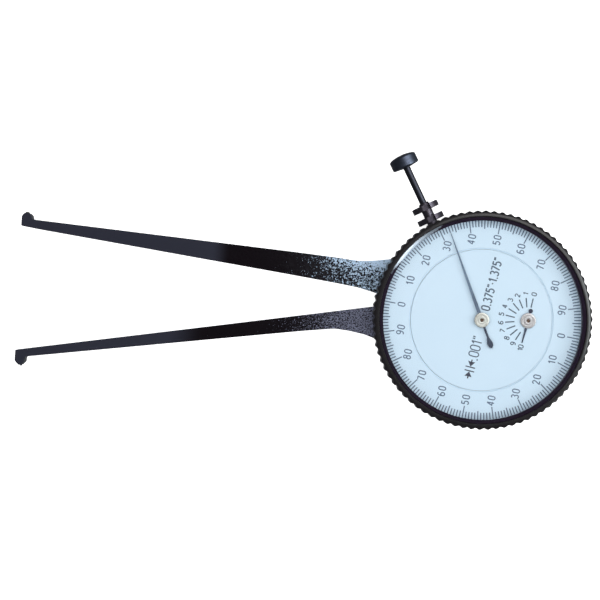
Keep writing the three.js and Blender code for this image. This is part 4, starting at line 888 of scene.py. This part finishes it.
# Hands: thin lacquered strips on turned hubs
mainHand = {
    "turn": 113.5, "length": 21.3, "root": 0.9, "tip": 0.16, "tail": 6.75, "tailWidth": 1.3, "waist": 0.5,
    "waistStart": 2.2, "waistEnd": 4.2, "bottom": 13.14, "top": 13.28, "hub": 1.7, "hubTop": 13.78, "pin": 0.4
}
length, tail, side, waist = pick(mainHand, "length tail tailWidth waist")
halfHand = [
    (length, mainHand["tip"] / 2), (0, mainHand["root"] / 2), (-mainHand["waistStart"], waist / 2),
    (-mainHand["waistEnd"], waist / 2), (-5.6, side / 2, 0.15), (-6.2, side / 2 - 0.08, 0.15),
    (-tail, 0.2, 0.1)
]
mainOutline = roundCorners(halfHand[1:] + [(x, -y, *radius) for x, y, *radius in reversed(halfHand)]
                           + halfHand[:1], 4)
smallHand = {
    "turn": 258.7, "length": 5.2, "root": 0.7, "tip": 0.2, "tail": 2.3, "blob": 0.5, "bottom": 12.45,
    "top": 12.59, "hub": 1.75, "hubTop": 12.89, "pin": 0.4
}
length, tip, root, tail, blob = pick(smallHand, "length tip root tail blob")
smallOutline = [
    (length, tip / 2), (0, root / 2), (-1.7, 0.2), *roundArc(-tail, 0, blob, 25, 335, 16), (-1.7, -0.2),
    (0, -root / 2), (length, -tip / 2)]


# A turned hub: rounded rim, a face that rises a little towards the pin, and a fine ring cut in it
def hubShape(hand, place):
    bottom, radius, top, pin = pick(hand, "top hub hubTop pin")
    return spinShape([
        (pin, bottom), (radius - 0.1, bottom), (radius, bottom + 0.1), (radius, top - 0.16),
        (radius - 0.04, top - 0.09), (radius - 0.14, top - 0.06), (radius * 0.62, top - 0.03),
        (radius * 0.58, top - 0.05), (radius * 0.54, top - 0.03), (pin + 0.05, top), (pin, top - 0.03)
    ], 96, place)


for name, hand, outline, centre, body, lacquer, steel in (
        ("main_hand", mainHand, mainOutline, (0, 0), "centre_arbor", mainHandLacquer, mainHubSteel),
        ("small_hand", smallHand, smallOutline, counterPlace, "counter_arbor", smallHandLacquer,
         smallHubSteel)):
    strip = plateShape(outline, hand["bottom"], hand["top"], 0.04, 2, at(*centre, turn=hand["turn"]))
    finishPiece(f"{name}_strip", [strip], [lacquer], body, [name])
    finishPiece(f"{name}_collet", [hubShape(hand, at(*centre))], [steel], body, [f"{name}_hub"])
print("hands made")

# Plunger: guide with a notched flange, notched lock nut, stem and domed knob, along one radius of the dial
plunger = {
    "guideRadius": 1.22, "guideBore": 0.9, "guideStart": 19.6, "guideEnd": 29.8, "flangeRadius": 3.15,
    "flangeStart": 25.11, "nutStart": 28.03, "flangeThickness": 1.3, "notchWidth": 1.9, "notchReach": 1.62,
    "stemRadius": 0.82, "stemStart": 12.3, "stemEnd": 40.4, "knobRadius": 3.2, "knobStart": 38.95,
    "knobNeck": 1.4, "knobEnd": 42.1, "knobCone": 0.3, "knobDome": 0.87, "knobBore": 0.84, "knobBoreEnd": 40.01
}


def notchedDisc(bore, start):
    radius, width, reach = pick(plunger, "flangeRadius notchWidth notchReach")
    bm = bmesh.new()
    bmesh.ops.create_circle(bm, cap_ends=True, radius=radius, segments=96)
    bmesh.ops.inset_region(
        bm, faces=bm.faces[:], thickness=radius - bore, use_boundary=True, use_even_offset=True)
    middle = min(bm.faces, key=lambda face: face.calc_center_median().length)
    bmesh.ops.delete(bm, geom=[middle], context="FACES_ONLY")
    for place, normal in (
            ((0, width / 2, 0), (0, 1, 0)), ((0, -width / 2, 0), (0, 1, 0)),
            ((reach, 0, 0), (1, 0, 0)), ((-reach, 0, 0), (1, 0, 0))):
        cutAcross(bm, place, normal)
    notches = [f for f in bm.faces if abs(f.calc_center_median().y) < width / 2
               and abs(f.calc_center_median().x) > reach]
    bmesh.ops.delete(bm, geom=notches, context="FACES")
    raiseFaces(bm, bm.faces[:], plunger["flangeThickness"])
    bmesh.ops.translate(bm, verts=bm.verts, vec=(0, 0, start))
    return cleanShape(bm, plungerPlace)


start, end, radius, bore = pick(plunger, "guideStart guideEnd guideRadius guideBore")
guideTube = spinShape([
    (bore, start), (radius, start), (radius, end - 0.15), (radius - 0.12, end), (bore, end)], 48, plungerPlace)
guideFlange = notchedDisc(radius - 0.05, plunger["flangeStart"])
lockNut = notchedDisc(radius + 0.02, plunger["nutStart"])
start, end, radius = pick(plunger, "stemStart stemEnd stemRadius")
rod = spinShape([
    (0, start), (radius - 0.15, start), (radius, start + 0.15), (radius, end), (0, end)], 32, plungerPlace)
start, radius, bore, boreEnd = pick(plunger, "knobStart knobRadius knobBore knobBoreEnd")
sideStart = start + plunger["knobCone"]
sideEnd = plunger["knobEnd"] - plunger["knobDome"]
button = spinShape([
    (bore, start), (plunger["knobNeck"], start), (radius - 0.3, sideStart - 0.12), (radius - 0.08, sideStart),
    (radius, sideStart + 0.2), (radius, sideEnd), *arc(0, sideEnd, radius, plunger["knobDome"], 8, 90, 12),
    (0, boreEnd), (bore, boreEnd)], 72, plungerPlace)
for name, shapes, steel, body, node, bevel in (
        ("plunger_guide_tube", [guideTube, guideFlange], guideSteel, "frame", "plunger_guide", 0.1),
        ("plunger_locking_ring", [lockNut], guideSteel, "frame", "plunger_lock_nut", 0.1),
        ("plunger_rod", [rod], blackenedSteel, "plunger", "plunger_stem", 0.0),
        ("plunger_button", [button], knobSteel, "plunger", "plunger_knob", 0.0)):
    finishPiece(name, shapes, [steel], body, [node], bevel=bevel)
print("plunger made")

# Pieces that keep their CAD solids
keptFinishes = {
    "black_steel": blackenedSteel, "bright_steel": brightSteel, "spring_steel": springSteel,
    "movement_brass": movementBrass, "hub_steel": brightSteel, "black_screw": screwSteel
}
slotOf = {part["node"]: part["material_slot"] for part in frame["record"]["subparts"]}
for name, node in nodes.items():
    finish = arborSteel if name in ("centre_pinion", "counter_pinion") else keptFinishes.get(slotOf[name])
    if finish is not None and not node.hide_render:
        node.data.materials.clear()
        node.data.materials.append(finish)
print("movement dressed")

# Studio. The top and side lights aren't mirrored, which keeps the dial even. The other three are only
# mirrored: main at the upper right, right for the edges of the lacquer, and glint low for the metal.
white = (1, 1, 1)
studio = {
    "floorWidth": 3.0, "floorDrop": 0.0002, "floorGlow": 0.85, "room": (0.93, 0.96, 1.0, 1),
    "roomStrength": 0.22,
    "lights": {
        "top": {"turn": 180, "rise": 85, "distance": 0.4, "size": 0.4, "power": 1.72},
        "side": {"turn": 355, "rise": 50, "distance": 0.6, "size": 0.3, "power": 0.9},
        "main": {"turn": 62, "rise": 58, "distance": 0.6, "size": 0.36, "power": 2.5},
        "right": {"turn": 10, "rise": 40, "distance": 0.6, "size": 0.3, "power": 4.8},
        "glint": {"turn": 326, "rise": 14, "distance": 0.5, "size": 0.1, "power": 0.3}
    },
    "mirrored": ("main", "right", "glint"), "tints": {"right": (0.93, 1, 1)}
}
bm = bmesh.new()
bmesh.ops.create_grid(bm, x_segments=1, y_segments=1, size=studio["floorWidth"] / 2)
floorMesh = bpy.data.meshes.new("floor")
bm.to_mesh(floorMesh)
bm.free()
floor = bpy.data.objects.new("floor", floorMesh)
floor.location = (camera["x"] * mm, 0, cadLow.z - studio["floorDrop"])
scene.collection.objects.link(floor)
paper, paperTree, paperShader = newMaterial("white_paper", 0xF8F8F8)
setNode(paperTree, paperShader, {
    "Roughness": 0.9, "Emission Color": (*white, 1), "Emission Strength": studio["floorGlow"]})
floorMesh.materials.append(paper)
floor.visible_glossy = False
floor.visible_diffuse = False

world = bpy.data.worlds.new("pale_room")
world.use_nodes = True
setNode(world.node_tree, world.node_tree.nodes["Background"], {
    "Color": studio["room"], "Strength": studio["roomStrength"]})
scene.world = world
scene.view_settings.view_transform = "Standard"

for name, settings in studio["lights"].items():
    light = bpy.data.lights.new(name, "AREA")
    light.shape = "SQUARE"
    light.size = settings["size"]
    light.energy = settings["power"]
    light.color = studio["tints"].get(name, white)
    rise = math.radians(settings["rise"])
    holder = bpy.data.objects.new(name, light)
    holder.location = (*polar(settings["distance"] * math.cos(rise), settings["turn"]),
                       settings["distance"] * math.sin(rise))
    holder.rotation_euler = (-holder.location).to_track_quat("-Z", "Y").to_euler()
    holder.visible_glossy = name in studio["mirrored"]
    holder.visible_diffuse = name not in studio["mirrored"]
    scene.collection.objects.link(holder)
print("studio lit")
